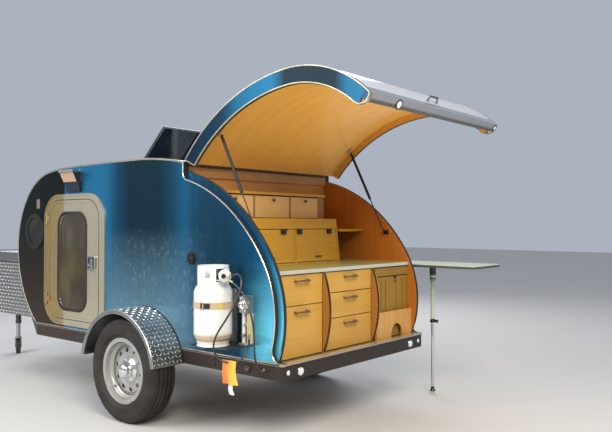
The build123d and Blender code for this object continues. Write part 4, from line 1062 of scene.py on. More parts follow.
def roofEdge(inset, foot):
    # From the front's foot over the crown to the roof's end
    rear = outlineRun(inset, True, 1400)
    stop, last = crossing(rear, 0, outline["roofEnd"])
    return outlineRun(inset, False, outline["base"] + foot)[::-1] + rear[1:stop + 1] + [last]


def roofTrim(values):
    maker = Maker()
    half, side, over, proud = outline["half"], values["roofSide"], values["roofOver"], values["proud"]
    section = [(-side, half - 1), (-side, half + 1.4), (-side + 1.2, half + proud), (0.6, half + proud),
               (proud * 0.7, half + 1), (proud * 0.7, half - over), (-1, half - over)]
    maker.sweepFlat(roofEdge(0, 8), section)
    maker.mirror()
    maker.done("roofTrim", trimFinish)


def seamTrim(values):
    # The bead down the hatch opening's edge, out at its foot, and along the sill
    maker = Maker()
    half, wide, proud = outline["half"], values["seamWidth"], values["proud"]
    along, down = values["seamTop"]
    end = outline["roofEnd"]
    path = bandPath(values["seamInset"], outline["wallFoot"], values["seamCorner"], end - along)
    _, peak = crossing(outlineRun(0, True, 1400), 0, end)
    high = path[0][1] + down
    corner = [(end, peak[1] - 3), (end, high)]
    for index in range(1, 6):
        turn = math.radians(90 * index / 6)
        corner.append((end - along + along * math.cos(turn), high - down * math.sin(turn) * 0.98))
    section = [(-wide, half - 1), (-wide, half + 1.2), (-wide + 2, half + proud + 1), (-2, half + proud + 1),
               (-0.4, half + 1.2), (-0.4, half - 1)]
    maker.sweepFlat(corner + path, section)
    maker.mirror()
    maker.done("seamTrim", metal("seamAluminium", (0.86, 0.83, 0.78), 0.25, (6, 6, 6), 0.15, 0.08))


def ledgeSeal(values):
    # The bulb seal on the ledge at the galley's opening, down to the hatch's foot
    ledge = Maker()
    path = bandPath(values["ledgeInset"], 503, values["ledgeCorner"], outline["hatchFront"] - 12)
    ledge.sweepFlat([point for point in path[:-1] if point[1] > 550], bulb(0, 733, 4.5, 5))
    ledge.mirror()
    ledge.done("ledgeSeal", sealFinish)


def sillTrim(values):
    # Two light strips along the foot of each side and a cap on the rear corners
    maker = Maker()
    half, rear = outline["half"], values["rearFace"]
    toe, heel = [outlineRun(0, tail, outline["base"])[-1][0] for tail in (False, True)]
    for low, high, proud in values["sillStrips"]:
        maker.box((heel + 3, toe - 2), (half - 1, half + proud), (low, high), 1.1)
    maker.box((rear + 0.5, heel + 26), (half - 20, half + 5), values["sillCap"], 3)
    maker.mirror()
    maker.box((rear, rear + 8.5), (-half, half), values["sillRear"], 1.6)
    maker.done("sillTrim", trimFinish)


roofTrim(trims)
seamTrim(trims)
ledgeSeal(trims)
sillTrim(trims)


# Trims on the hatch
def hatchTrims(values):
    half, edge, proud = outline["half"], values["bandEdge"], values["proud"]
    low, front = outline["hatchLow"], outline["hatchFront"]
    outer = [point for point in outlineRun(0, True, low + 2) if point[0] < front - 1]
    inner = bandPath(values["bandInset"], low, values["bandCorner"], front - 4)
    _, head = crossing(outlineRun(0, True, low), 0, front - 3)
    runs = (
        (outer, [(-edge, half - 1), (-edge, half + 0.8), (-edge + 1.5, half + proud), (0.4, half + proud),
                 (1.1, half + 1), (1.1, half - 24), (-1, half - 24)]),
        (inner, [(0.2, half - 22), (-1.4, half - 22), (-1.4, half + 0.5), (-0.4, half + proud),
                 (edge - 1.5, half + proud), (edge, half + 0.6), (edge, half - 1), (0.2, half - 1)]),
        ([(head[0], head[1] - 4), inner[0]],
         [(0, half - 1), (0, half + proud), (6, half + proud), (6, half - 1)]),
    )
    maker = Maker()
    for path, section in runs:
        maker.sweepFlat([opened(point) for point in path], section)
    maker.mirror()
    maker.done("hatchTrims", edgeFinish, "hatch")
    seal = Maker()
    seal.sweepFlat([opened(point) for point in inner[:-8]], bulb(-1.5, half - 12, 3.0, 7))
    seal.mirror()
    seal.done("bandSeal", sealFinish, "hatch")


hatchTrims(trims)
print("trims done")


# Doors, portholes and lights on the sides
chromeFinish = metal("chromePlate", (0.82, 0.82, 0.81), 0.08, grime=0.12, depth=0.03)
brightScrew = metal("screwSteel", (0.62, 0.61, 0.58), 0.25, grime=0.3)
gasketBrown = rubber("gasketBrown", (0.017, 0.010, 0.007), 0.55, 0.12)
glossBlack = plastic("glossBlack", (0.010, 0.010, 0.011), 0.22, 0.6)
doors = {
    # x range, z range and corner radii
    "leaf": ((581, 1261), (560, 1461), (90, 148, 148, 148)),
    "frame": ((506, 1313), (512, 1507), (130, 195, 195, 195)),
    "window": ((744, 1112), (635, 1360), (96, 96, 96, 96)),
    # sections as (out from the edge, distance from the trailer's middle)
    "gasket": [(-8, 757.2), (-8, 765), (-5, 770), (2, 771.5), (10, 771), (14, 769), (15, 765.8),
               (0.3, 765.8), (0.3, 757.2)],
    "bead": [(-9.5, 757.2), (-9.5, 760), (-8.2, 761.5), (-8, 757.2)],
    "seal": [(2.0, 752), (2.0, 764.5), (3.2, 766), (4.8, 765), (4.8, 752)],
    "lining": [(-1, 715.2), (-1, 717.6), (15, 717.6), (15, 715.6), (12.5, 713.6), (1.5, 713.6)],
    "latch": (653, 994),
    # plates of the latch: x and z from its middle, corner radius, (foot, face, bevel)
    "recess": [((-36, 36), (-43, 43), 9, (783.6, 785.4, 0.8))],
    "paddle": [((-28, 6), (-33, 33), 8, (784.8, 792, 2.6)), ((-33, 33), (-41, -35), 3, (785, 788.5, 1.2))],
    "keyholeAt": (22, 784.8, -12),
    "innerFace": 717,
    "frameFace": 768,
    "leafFace": 775,
    # turned profiles as (radius, height)
    "keyhole": [(9.5, 0), (9.5, 3), (8, 4.6), (3.4, 4.8), (3.2, 3.6), (0, 3.6)],
    "knob": [(21, -1), (21, 3), (18, 5), (8, 6), (7, 14), (15, 16), (17.5, 19), (17.5, 24), (15, 27),
             (0, 28)],
    "frameScrews": 26,
    "screwInset": 22,
    "hinges": (1244, (700, 1320), (-14, 0, 14)),        # x, the hinges' heights, their screws' offsets
    "porthole": (1458, 1220),
    "lip": [(112, 6), (110, 12), (112.5, 15), (117, 15.5), (121, 13.5), (128, 14.5), (134, 13), (139, 7),
            (140.5, 0), (112, 0)],
    "sidePort": (-423, 1066),
    "portCap": [(30.5, -10), (30.5, -1), (28.5, 1), (12, 1.6), (11, 3.4), (0, 3.8)],
}


def doorTrims(values, side):
    label = "Left" if side > 0 else "Right"
    body = "door_" + label.lower()
    window, leaf = [roundRect(*values[key], steps=12) for key in ("window", "leaf")]

    def edging(name, path, section, finish, carrier):
        # One piece with the same section all round a path
        maker = Maker()
        maker.sweepFlat(path, values[section], True, side)
        maker.done(name + label, finish, carrier)

    edging("windowGasket", window, "gasket", gasketBrown, body)
    edging("windowBead", window, "bead", chromeFinish, body)
    edging("doorSeal", leaf, "seal", gasketBrown, "root")
    x, z = values["latch"]
    recess, paddle, knob = Maker(), Maker(), Maker()
    for maker, key in ((recess, "recess"), (paddle, "paddle")):
        for wide, high, corner, levels in values[key]:
            outer = roundRect([x + dx for dx in wide], [z + dz for dz in high], [corner] * 4)
            maker.prism(outer, *levels, side)
    recess.done("latchRecess" + label, glossBlack, body)
    dx, y, dz = values["keyholeAt"]
    paddle.lathe((x + dx, side * y, z + dz), (0, side, 0), values["keyhole"], 24)
    paddle.done("latchPaddle" + label, chromeFinish, body)
    edging("windowLining", window, "lining", gasketBrown, body)
    knob.lathe((x, side * values["innerFace"], z), (0, -side, 0), values["knob"], 24)
    knob.done("innerKnob" + label, chromeFinish, body)
    ring = roundRect(*values["frame"], grow=-values["screwInset"], steps=12)
    ring += ring[:1]
    total = sum(math.dist(a, b) for a, b in zip(ring, ring[1:]))
    heads = [(px, side * values["frameFace"], pz, (0, side, 0))
             for px, pz in spaced(ring, total / values["frameScrews"], 0.0)]
    studs("frameScrews" + label, heads, 3.6, 1.6, brightScrew)
    hingeX, levels, offsets = values["hinges"]
    for level in levels:
        spots = [(hingeX, side * values["leafFace"], level + offset, (0, side, 0)) for offset in offsets]
        studs("hingeScrews%s%d" % (label, level), spots, 3.4, 1.6, brightScrew, body)


def portholeLips(values):
    lips, caps = Maker(), Maker()
    (lipX, lipZ), (capX, capZ) = values["porthole"], values["sidePort"]
    for side in (1, -1):
        lips.lathe((lipX, side * outline["half"], lipZ), (0, side, 0), values["lip"], 64)
        caps.lathe((capX, side * 780, capZ), (0, side, 0), values["portCap"], 32)
        caps.box((capX - 3, capX + 3), (side * 781.6 - 1.5, side * 781.6 + 4), (capZ - 24, capZ + 24), 1)
    lips.done("portholeLips", rubber("lipRubber", (0.006, 0.006, 0.006), 0.5, 0.1))
    caps.done("sidePortCaps", glossBlack)


porch = {
    "count": 17,
    "pitch": 10,
    "start": 815,
    "foot": (806.5, 1592),          # the tilted lens's lower edge: distance from the middle, height
    "slope": 0.4675,
    "levels": (1594, 1606, 1620, 1640, 1655, 1666),
    "rib": ((-1.6, 0), (-1.2, 2.2), (1.2, 2.2), (1.6, 0)),
    "hoodX": (799.5, 990.5),
    "hood": (((761, 847.5), (1681.5, 1685)), ((844.5, 847.5), (1664, 1684))),
    "finish": plastic("porchLens", (0.66, 0.47, 0.34), 0.3, 0.5),
}


def porchRibs(values):
    # A row of upright ribs over the tilted lens
    maker = Maker()
    foot, low = values["foot"]
    ridge = [(foot + (z - low) * values["slope"], z) for z in values["levels"]]
    maker.rings([[(x, y + out, z) for x, out in values["rib"]] for y, z in ridge])
    maker.place(lambda point: point - at(0, 0, 0))
    rib = maker.loose("rib")
    growth = {"Count": values["count"], "Step": (values["pitch"] / 1000, 0.0, 0.0),
              "Material": values["finish"]}
    meshes, hoods = [], Maker()
    for side in (1, -1):
        row = grown(trees["row"], rib.copy(), growth)
        row.transform(Matrix.Scale(side, 4, (0, 1, 0)))
        row.transform(Matrix.Translation(at(values["start"], 0, 0)))
        if side < 0:
            row.flip_normals()
        meshes.append(row)
        for across, up in values["hood"]:
            hoods.box(values["hoodX"], sorted(side * y for y in across), up, 1.2)
    joined("porchRibs", meshes, values["finish"])
    hoods.done("porchHoods", chromeFinish)


for side in (1, -1):
    doorTrims(doors, side)
portholeLips(doors)
porchRibs(porch)
print("doors done")


# Wheels
wheels = {
    "centreY": 895,
    "axleHigh": 335,
    # half of the tyre's section from the crown outwards: radius, distance from the middle
    "crown": [(334.8, 0), (334.8, 11), (334.2, 12), (328, 13), (328, 20), (334.4, 21), (334.2, 41),
              (333.6, 42), (327, 43), (327, 50), (333.2, 51), (332.4, 66), (331, 75), (327, 81),
              (320, 86), (313, 91), (308, 92), (306, 94.5), (300, 96.5), (296, 96), (285, 99),
              (262, 100.5), (246, 99), (243, 99.6), (238, 98.5), (235, 95), (226, 90), (218, 85.5),
              (212, 82), (209, 77), (208.5, 70), (222, 78)],
    "steps": 128,
    "shoulderLugs": 76,
    # a lug's foot and top, each at its outer and inner end: half width, distance from the middle, radius
    "lug": (((5, 84.5, 320), (4, 92, 307)), ((4, 87.5, 321.5), (3, 94.4, 308))),
    "sipes": 150,
    "wheelNuts": 5,
    "nutRing": 66,
    "nut": [(9.5, 0), (9.5, 5), (8.2, 6), (8.2, 20), (6.5, 25), (3, 28), (0, 28.5)],
    # bright edges on the rim's steps: radius, distance from the middle
    "rimEdges": (
        [(204, 78), (209, 81.8), (213.5, 81.8), (214.5, 79), (209, 76)],
        [(190.5, 60), (193, 66), (199, 74), (196, 62)],
        [(172, 40), (174, 46), (181, 52), (178, 40)],
        [(150, 22), (152, 26), (158, 24), (156, 18)],
    ),
    "hubCap": [(79.5, 24), (79.5, 31.5), (76, 33.5), (62, 42), (57, 44.5), (52, 60), (48, 64), (46, 80),
               (43, 85), (33, 92.5), (18, 96.5), (0, 98)],
    "stem": ((118, 28, -118), (122, 40, -122), (118, 58, -118)),
    "stemThick": [5.5, 4.5, 3.4],
    "weight": (206, 83, [205 + 1.6 * step for step in range(7)]),      # radius, distance out, degrees
}


def treadRubber(values):
    # Dusty rubber; narrow slots run across the tread and fine ribs round the side wall
    finish = Finish("treadRubber")
    x, z = finish.mm(0), finish.mm(2) - values["axleHigh"]
    away = finish.calc("SQRT", x * x + z * z)
    turn = finish.calc("ARCTAN2", x, z)
    across = finish.calc("ABSOLUTE", finish.mm(1)) - values["centreY"]
    slant = turn * (values["sipes"] / (2 * math.pi)) + finish.calc("SINE", across * 0.16) * 0.35
    slots = finish.step(finish.calc("PINGPONG", slant, 0.5), 0.06, 0.11)
    crown = finish.step(away, 323, 327)
    rings = finish.calc("SINE", away * 1.15) * 0.5 + 0.5
    grain = finish.noise(190.0, 3.0)
    cloud = finish.noise(8.0, 4.0)
    dusty = finish.step(cloud + 0.25 * grain, 0.42, 0.8)
    base = finish.mix(dusty * 0.6, (0.011, 0.009, 0.008), (0.052, 0.042, 0.031))
    base = finish.shade(base, crown * (1.0 - slots) * 0.8, (0.25, 0.25, 0.25))
    relief = crown * slots + (1.0 - crown) * rings * 0.25 + grain * 0.1
    rough = 0.62 + 0.2 * (cloud - 0.5)
    return finish.close(base=base, roughness=rough, specular=0.35, normal=finish.bump(relief, 0.5, 0.0015))


def ringOf(maker, count, side, values, material, start=0.0):
    # Copies of a small shape, drawn round the layout's origin, set about one wheel's axle
    maker.place(lambda point: point - at(0, 0, 0))
    made = grown(trees["ring"], maker.loose("ringUnit"),
                 {"Count": count, "Start": start, "Material": material})
    if side < 0:
        made.transform(Matrix.Rotation(math.pi, 4, "Z"))
    made.transform(Matrix.Translation(at(0, side * values["centreY"], values["axleHigh"])))
    return made


def makeWheel(values, side, material):
    label = "left" if side > 0 else "right"
    body, title = "wheel_" + label, label.title()

    def spot(radius, out, turn):
        # A place on this wheel: distance from its axle and from its middle plane, angle from the top
        y = side * (values["centreY"] + out)
        return radius * math.sin(turn), y, values["axleHigh"] + radius * math.cos(turn)

    half = values["crown"]
    section = half + [(radius, -out) for radius, out in half[:0:-1]]
    tyre = Maker()
    tyre.rings([[spot(radius, out, turn) for radius, out in section] for turn in turns(values["steps"])],
               closed=True)
    piece = tyre.done("tyre" + title, material, body, sharp=32)
    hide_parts("tyre_" + label)
    lug, nut = Maker(), Maker()
    for way in (1, -1):
        lug.rings([[(-wide, way * out, far), (wide, way * out, far), (slim, way * end, near),
                    (-slim, way * end, near)]
                   for (wide, out, far), (slim, end, near) in values["lug"]])
    joined("shoulderLugs" + title, [ringOf(lug, values["shoulderLugs"], side, values, material)], material,
           body)
    nut.lathe((0, 22, values["nutRing"]), (0, 1, 0), values["nut"], 6)
    nuts = ringOf(nut, values["wheelNuts"], side, values, chromeFinish, 0.35)
    joined("wheelNuts" + title, [nuts], chromeFinish, body, 25)
    trim, cap, stem, weight = Maker(), Maker(), Maker(), Maker()
    for profile in values["rimEdges"]:
        trim.rings([[spot(radius, out, turn) for radius, out in profile] for turn in turns(72)], closed=True)
    trim.done("rimSteps" + title, finishes["rim_left"], body)
    cap.lathe((0, side * values["centreY"], values["axleHigh"]), (0, side, 0), values["hubCap"], 48)
    cap.done("hubCap" + title, chromeFinish, body, 30)
    places = [(x, side * (values["centreY"] + out), values["axleHigh"] + z) for x, out, z in values["stem"]]
    stem.tube(places, values["stemThick"], 10)
    stem.done("valveStem" + title, glossBlack, body)
    radius, out, degrees = values["weight"]
    weight.tube([spot(radius, out, math.radians(angle)) for angle in degrees], 4, 8)
    weight.done("wheelWeight" + title, brightScrew, body)


tread = treadRubber(wheels)
for side in (1, -1):
    makeWheel(wheels, side, tread)
print("wheels done")


# Chequered sheet on the fenders and the tongue box
sheets = {
    "fenderRadius": 390,
    "fenderCentre": (40, 335),
    "fenderY": (764, 1000),
    "fenderFoot": 396,
    "fenderLength": 1092,
    "edgeBead": 3.444,
    "pitch": 29,
    "bar": (27, 9, 2.6),
    "boxX": (1800, 2400),
    "boxHalf": 600,
    "boxHigh": (487, 950),
    "boxSheet": (452, 590, 1188),       # height, lengths of the side and of the end sheets
    "lidSheet": (1206, 596),
    "lidPlace": (295, 1028),            # from the box's front, height
    "boxCorner": (2.4, (489, 956)),     # half width, heights
    "vents": [2020 + step * 42 for step in range(9)],
    "vent": (24, 2.6, (936, 945)),      # length, proud, heights
    # blocks of the latch as (out from the box, across, up, bevel), and its bar as (out, across)
    "latch": (((0, 6), (-62, 62), (862, 950), 2), ((6, 16), (-20, 20), (880, 918), 3)),
    "latchBar": ((12, -34), (28, -30), (28, 30), (12, 34)),
    "latchHigh": 902,
    "lidFoot": (957, 962),
    "lidOver": 13,
    "lidHinges": ((-380, 380), 34, (1027, 1029.5)),     # across, half width, heights
}
lugMetal = metal("lugMetal", (0.78, 0.77, 0.72), 0.22, (1, 1, 1), 0.3, 0.1)


def fenderSheets(values):
    cx, cz = values["fenderCentre"]
    low, high = values["fenderY"]
    reach = values["fenderRadius"]
    meshes = []
    for side in (1, -1):
        place = turned(cx, side * (low + high) / 2, cz, (1, 0, 0), (0, 0, 1))
        size = values["fenderLength"], high - low
        meshes.append(lugSheet(*size, values["pitch"], lugMetal, place, reach, values["bar"]))
    joined("fenderLugs", meshes, lugMetal)
    start = math.degrees(math.asin((values["fenderFoot"] - cz) / reach))
    arc = [math.radians(start + (180 - 2 * start) * step / 60) for step in range(61)]

    def bead(maker, inset, y, thick, sides):
        # A round bar along the fender's arc
        radius = reach - inset
        maker.tube([(cx + radius * math.cos(turn), y, cz + radius * math.sin(turn)) for turn in arc], thick,
                   sides)

    edges, seal = Maker(), Maker()
    bead(edges, 1, 1001.5, values["edgeBead"], 10)
    bead(edges, 23.5, 1003, 2.0, 8)
    for sign in (1, -1):
        foot = cx + sign * math.cos(math.radians(start)) * reach
        edges.box(sorted((foot - sign * 26, foot + sign * 1)), (764, 1004), (395.2, 397.5), 0.8)
    edges.mirror()
    edges.done("fenderEdges", metal("fenderEdge", (0.80, 0.77, 0.70), 0.2, grime=0.3))
    bead(seal, -2.5, 764, 3.4, 8)
    seal.mirror()
    seal.done("fenderSeals", sealFinish)


def boxSheets(values):
    x0, x1 = values["boxX"]
    half = values["boxHalf"]
    middle = sum(values["boxHigh"]) / 2
    tall, sideLong, endLong = values["boxSheet"]
    faces = [
        (endLong, turned(x0, 0, middle, (0, 1, 0), (-1, 0, 0))),
        (endLong, turned(x1, 0, middle, (0, -1, 0), (1, 0, 0))),
        (sideLong, turned((x0 + x1) / 2, half, middle, (-1, 0, 0), (0, 1, 0))),
        (sideLong, turned((x0 + x1) / 2, -half, middle, (1, 0, 0), (0, -1, 0))),
    ]
    meshes = [lugSheet(length, tall, values["pitch"], lugMetal, place, 0, values["bar"])
              for length, place in faces]
    joined("boxLugs", meshes, lugMetal)
    back, level = values["lidPlace"]
    top = turned(x1 - back, 0, level, (0, 1, 0), (0, 0, 1))
    lid = lugSheet(*values["lidSheet"], values["pitch"], lugMetal, top, 0, values["bar"])
    joined("lidLugs", [lid], lugMetal, "tongue_box_lid")
    corners, slots, latch, rim = Maker(), Maker(), Maker(), Maker()
    thick, up = values["boxCorner"]
    length, proud, levels = values["vent"]
    for y in (-half, half):
        for x in (x0, x1):
            corners.box((x - thick, x + thick), (y - thick, y + thick), up, 1)
        for x in values["vents"]:
            slots.box((x, x + length), sorted((y, y + math.copysign(proud, y))), levels, 1)
    corners.done("boxCorners", finishes["fenders"])
    slots.done("boxSlots", glossBlack)
    for out, across, up, bevel in values["latch"]:
        latch.box([x1 + reach for reach in out], across, up, bevel)
    latch.tube([(x1 + out, y, values["latchHigh"]) for out, y in values["latchBar"]], 5, 10)
    latch.done("boxLatch", chromeFinish)
    edge = half + values["lidOver"]
    rim.box((x1 + 12, x1 + 15), (-edge, edge), values["lidFoot"], 1)
    for y in (edge, -edge):
        rim.box((x0 - 3, x1 + 14), (y - 1.5, y + 1.5), values["lidFoot"], 1)
    places, wide, up = values["lidHinges"]
    for y in places:
        rim.box((x0 - 2, x0 + 30), (y - wide, y + wide), up, 0.8)
    rim.done("lidRim", chromeFinish, "tongue_box_lid")


fenderSheets(sheets)
boxSheets(sheets)
print("sheets done")


# The galley's hardware
galley = {
    "dividers": ((270, 290), (-265, -245)),
    "frontX": -1100,
    "wallInside": 716,
    # drawer fronts: y range, z range
    "fronts": {
        "drawer_left_low": ((290, 717), (494, 795.5)), "drawer_left_high": ((290, 717), (801, 981)),
        "drawer_middle_low": ((-245, 270), (494, 685.5)), "drawer_middle": ((-245, 270), (691, 846.5)),
        "drawer_middle_high": ((-245, 270), (852, 981)),
    },
    "pullBar": ((-58, 6.2), (-50, 6.2), (50, 5.4), (58, 5.4)),      # across, radius
    # a pull's foot as (share of its radius, height)
    "pullFoot": ((1, 0), (1, 1.5), (0.7, 4), (0.6, 14), (0.85, 20), (0.9, 26), (0.5, 30), (0, 30.5)),
    "pullFeet": ((-56, 10.5), (56, 7.5)),                           # across, radius
    "doorHinges": {"cabinet_door_left": (182, 462), "cabinet_door_right": (16, -318)},
    "cabinetSlope": 0.119,                                          # the upper cabinet's lean
    "cabinetScrews": ((590, -438), (1060, 1150, 1240)),
    "cabinetFace": (-700.4, 1012),                                  # the leaning face at its foot: x, height
    "cabinetHinge": ((-688.5, -674), 22, (1216, 1246), 1.5),        # x, half width, heights, bevel
    "cabinetKnuckle": (-687, 24, 4.5),                              # x, half width, radius
    "screwHead": [(4, 0), (3.4, 1.2), (0, 1.6)],
    "iceboxLatches": (
        ((-1110, -1104), (-552, -530), (900, 914), 2), ((-1113, -1104), (-556, -526), (912, 922), 2.5),
        ((-1107, -1100), (-550, -532), (876, 882), 1.5)),
    "iceboxRibs": ((938, 944), (962, 968)),
}


def edgeSeals(values):
    # Black edging on the curved edges of the dividers
    full = outlineRun(76, True, 494)
    start, first = crossing(full, 1, 984)
    maker = Maker()
    for _, high in values["dividers"]:
        section = [(-3, high - 12.5), (2.2, high - 12), (3.6, high - 9), (3.6, high - 2), (1.5, high + 1.2),
                   (-3, high + 1)]
        maker.sweepFlat([first] + full[start + 1:], section)
    maker.done("dividerEdges", sealFinish)


def counterEdge(values):
    front, across = values["frontX"], (-values["wallInside"], values["wallInside"])
    maker, shadow = Maker(), Maker()
    maker.box((front - 9, front - 4.6), across, (986.5, 1011.5), 1.8)
    maker.done("counterEdge", metal("counterEdge", (0.78, 0.76, 0.62), 0.3, (8, 0.4, 8), metallic=0.5))
    shadow.box((front - 4, front + 2), across, (981.5, 986.5))
    shadow.box((front - 2, front + 10), across, (487.3, 493.6))
    shadow.done("counterShadow", sealFinish)


def drawerHardware(values):
    iron = metal("pullIron", (0.22, 0.16, 0.09), 0.42, metallic=0.7)
    front, ends = values["frontX"], [thick for _, thick in values["pullBar"]]
    for name, (across, up) in values["fronts"].items():
        middle, top = (across[0] + across[1]) / 2, up[1] - 36
        pull, edge = Maker(), Maker()
        pull.tube([(front - 23.5, middle + y, top) for y, _ in values["pullBar"]], ends, 12)
        for y, wide in values["pullFeet"]:
            foot = [(wide * share, height) for share, height in values["pullFoot"]]
            pull.lathe((front, middle + y, top), (-1, 0, 0), foot, 16)
        pull.done("pull_" + name, iron, name)
        heads = [(front - 0.2, across[1] - 26, up[1] - 40 - offset, (-1, 0, 0)) for offset in (0, 17)]
        studs("catch_" + name, heads, 5.5, 2.2, brightScrew, name, 14)
        for y in (across[0] + 2.4, across[1] - 2.4):
            edge.box((front - 0.3, front + 4), (y - 0.8, y + 0.8), (up[0] + 3, up[1] - 3))
        edge.done("edge_" + name, gasketBrown, name)


def cabinetHardware(values):
    iron = rubber("hingeBlack", (0.012, 0.010, 0.009), 0.4, 0.1)
    slope = values["cabinetSlope"]

    def lean(point):
        # Along the cabinet's sloping face, measured from its doors' hinges
        return point - Vector(((1.25 - (point.z + 0.44)) * slope, 0, 0))

    out, wide, up, bevel = values["cabinetHinge"]
    x, reach, thick = values["cabinetKnuckle"]
    for body, places in values["doorHinges"].items():
        maker = Maker()
        for y in places:
            maker.box(out, (y - wide, y + wide), up, bevel)
            maker.tube([(x, y - reach, up[1]), (x, y + reach, up[1])], thick, 10)
        maker.place(lean)
        maker.done("hinges_" + body, iron, body)
    screws = Maker()
    (across, levels), (foot, low) = values["cabinetScrews"], values["cabinetFace"]
    for y in across:
        for z in levels:
            screws.lathe((foot + (z - low) * slope, y, z), (-1, 0, 0.12), values["screwHead"], 10)
    screws.done("cabinetScrews", brightScrew)


def iceboxHardware(values):
    latches, lid = Maker(), Maker()
    for block in values["iceboxLatches"]:
        latches.box(*block)
    latches.done("iceboxLatches", rubber("latchBlack", (0.012, 0.010, 0.009), 0.4, 0.1))
    for up in values["iceboxRibs"]:
        lid.box((-1109, -1105), (-704, -298), up, 1.2)
    lid.done("iceboxRibs", finishes["icebox"])


edgeSeals(galley)
counterEdge(galley)
drawerHardware(galley)
cabinetHardware(galley)
iceboxHardware(galley)
print("galley done")


# The hatch's hardware
lensClear = plastic("lensClear", (0.74, 0.80, 0.84), 0.14, 0.6)
redLens = plastic("redLens", (0.42, 0.018, 0.010), 0.2, 0.6)
hatchware = {
    "strutTop": (-610, 688, 1832),
    "skinInside": 50,
    "plate": (74, 34),                                      # length along the hatch, width
    "lipFace": (-0.906, -0.423),
    "lipLights": ((469, 26, 25), (-739, 17, 21)),           # across, radius, inset from the skin
    # profiles as (share of the radius, height) and (more than the radius, height)
    "lightShape": ((1, -2), (1, 0.8), (0.88, 2.0), (0.5, 2.8), (0, 3.1)),
    "ringShape": ((4, -1), (4, 0.8), (2.5, 2.0), (-0.5, 2.2)),
    "handle": (-1700, 2015),
    "handleOut": (-0.491, 0.871),
    "handleHalf": 56,
    "rosette": [(14, -5), (14, 1.5), (11, 4), (6, 5)],
    "hingeFace": (-341, -335.5),
    "hingeScrews": [-690 + step * 60 for step in range(24)],
    "screwGap": 96,
    "sillScrews": [-960 + step * 160 for step in range(15)],
    "railBolts": ((-1080, -640, 520, 900, 1280), (424, 460)),
}


def strutPlates(values):
    # The plates under the struts' brackets, square to the hatch's inner face
    x, y, z = values["strutTop"]
    run = [opened(point) for point in outlineRun(values["skinInside"], True, 500, 6)]
    index = min(range(1, len(run) - 1), key=lambda place: math.dist(run[place], (x, z)))
    (ax, az), (bx, bz), (cx, cz) = run[index - 1], run[index + 1], run[index]
    size = math.dist((ax, az), (bx, bz))
    tx, tz = (bx - ax) / size, (bz - az) / size
    ox, oz = -tz, tx

    def spot(side, along, across, level):
        return cx + tx * along + ox * level, side * y + across, cz + tz * along + oz * level

    long, wide = values["plate"]
    corners = ((-1, -1), (1, -1), (1, 1), (-1, 1))
    plates, heads = Maker(), []
    for side in (1, -1):
        plates.rings([[spot(side, s * (long / 2 - inset), t * (wide / 2 - inset), level) for s, t in corners]
                      for level, inset in ((-1, 0), (2.2, 0), (3.2, 1.2))])
        heads += [(*spot(side, s * long * 0.38, t * wide * 0.28, 3.2), (ox, 0, oz)) for s, t in corners]
    plates.done("strutPlates", brightScrew, "hatch")
    studs("strutScrews", heads, 3.6, 1.8, chromeFinish, "hatch")


def hatchHardware(values):
    nx, nz = values["lipFace"]
    lights, rings, strip = Maker(), Maker(), Maker()
    for across, radius, inset in values["lipLights"]:
        px, pz = opened(outlineRun(inset, True, outline["hatchLow"])[-1])
        light = [(radius * share, height) for share, height in values["lightShape"]]
        lights.lathe((px, across, pz), (nx, 0, nz), light, 28)
        ring = [(radius + more, height) for more, height in values["ringShape"]]
        rings.lathe((px, across, pz), (nx, 0, nz), ring, 28)
    lights.done("lipLights", lensClear, "hatch")
    (ox, oz), (hx, hz) = values["handleOut"], values["handle"]
    for side in (-1, 1):
        rings.lathe((hx, side * values["handleHalf"], hz), (ox, 0, oz), values["rosette"], 20)
    rings.done("hatchRosettes", gasketBrown, "hatch")
    strip.box(values["hingeFace"], (-712, 712), (1652, 1680), 1)
    strip.done("hingeStrip", finishes["hatch_fixings"])
    heads = [(values["hingeFace"][0], y, 1664, (-1, 0, 0)) for y in values["hingeScrews"]]
    studs("hingeStripScrews", heads, 3.2, 1.2, brightScrew, sides=8)


def trimScrews(values):
    # Round heads on the trims of the roof's edge, the sill and the hatch's band, and bolts on the rails
    half, gap = outline["half"], values["screwGap"]

    def bothSides(places, proud):
        return [(x, side * (half + proud), z, (0, side, 0)) for x, z in places for side in (1, -1)]

    sill = [(x, 493.8) for x in values["sillScrews"] if not -360 < x < 440]
    heads = bothSides(spaced(roofEdge(5.5, 30), gap), 2.2) + bothSides(sill, 3.2)
    studs("trimScrews", heads, 2.8, 1.0, brightScrew, sides=8)
    band = [opened(point) for point in outlineRun(3.4, True, 520) if point[0] < outline["hatchFront"] - 20]
    studs("bandScrews", bothSides(spaced(band, gap), 2.2), 2.4, 0.9, brightScrew, "hatch", 8)
    across, levels = values["railBolts"]
    bolts = bothSides([(x, z) for x in across for z in levels], 0)
    studs("railBolts", bolts, 9, 5, finishes["side_rails"], sides=6)


strutPlates(hatchware)
hatchHardware(hatchware)
trimScrews(hatchware)
print("hatch hardware done")


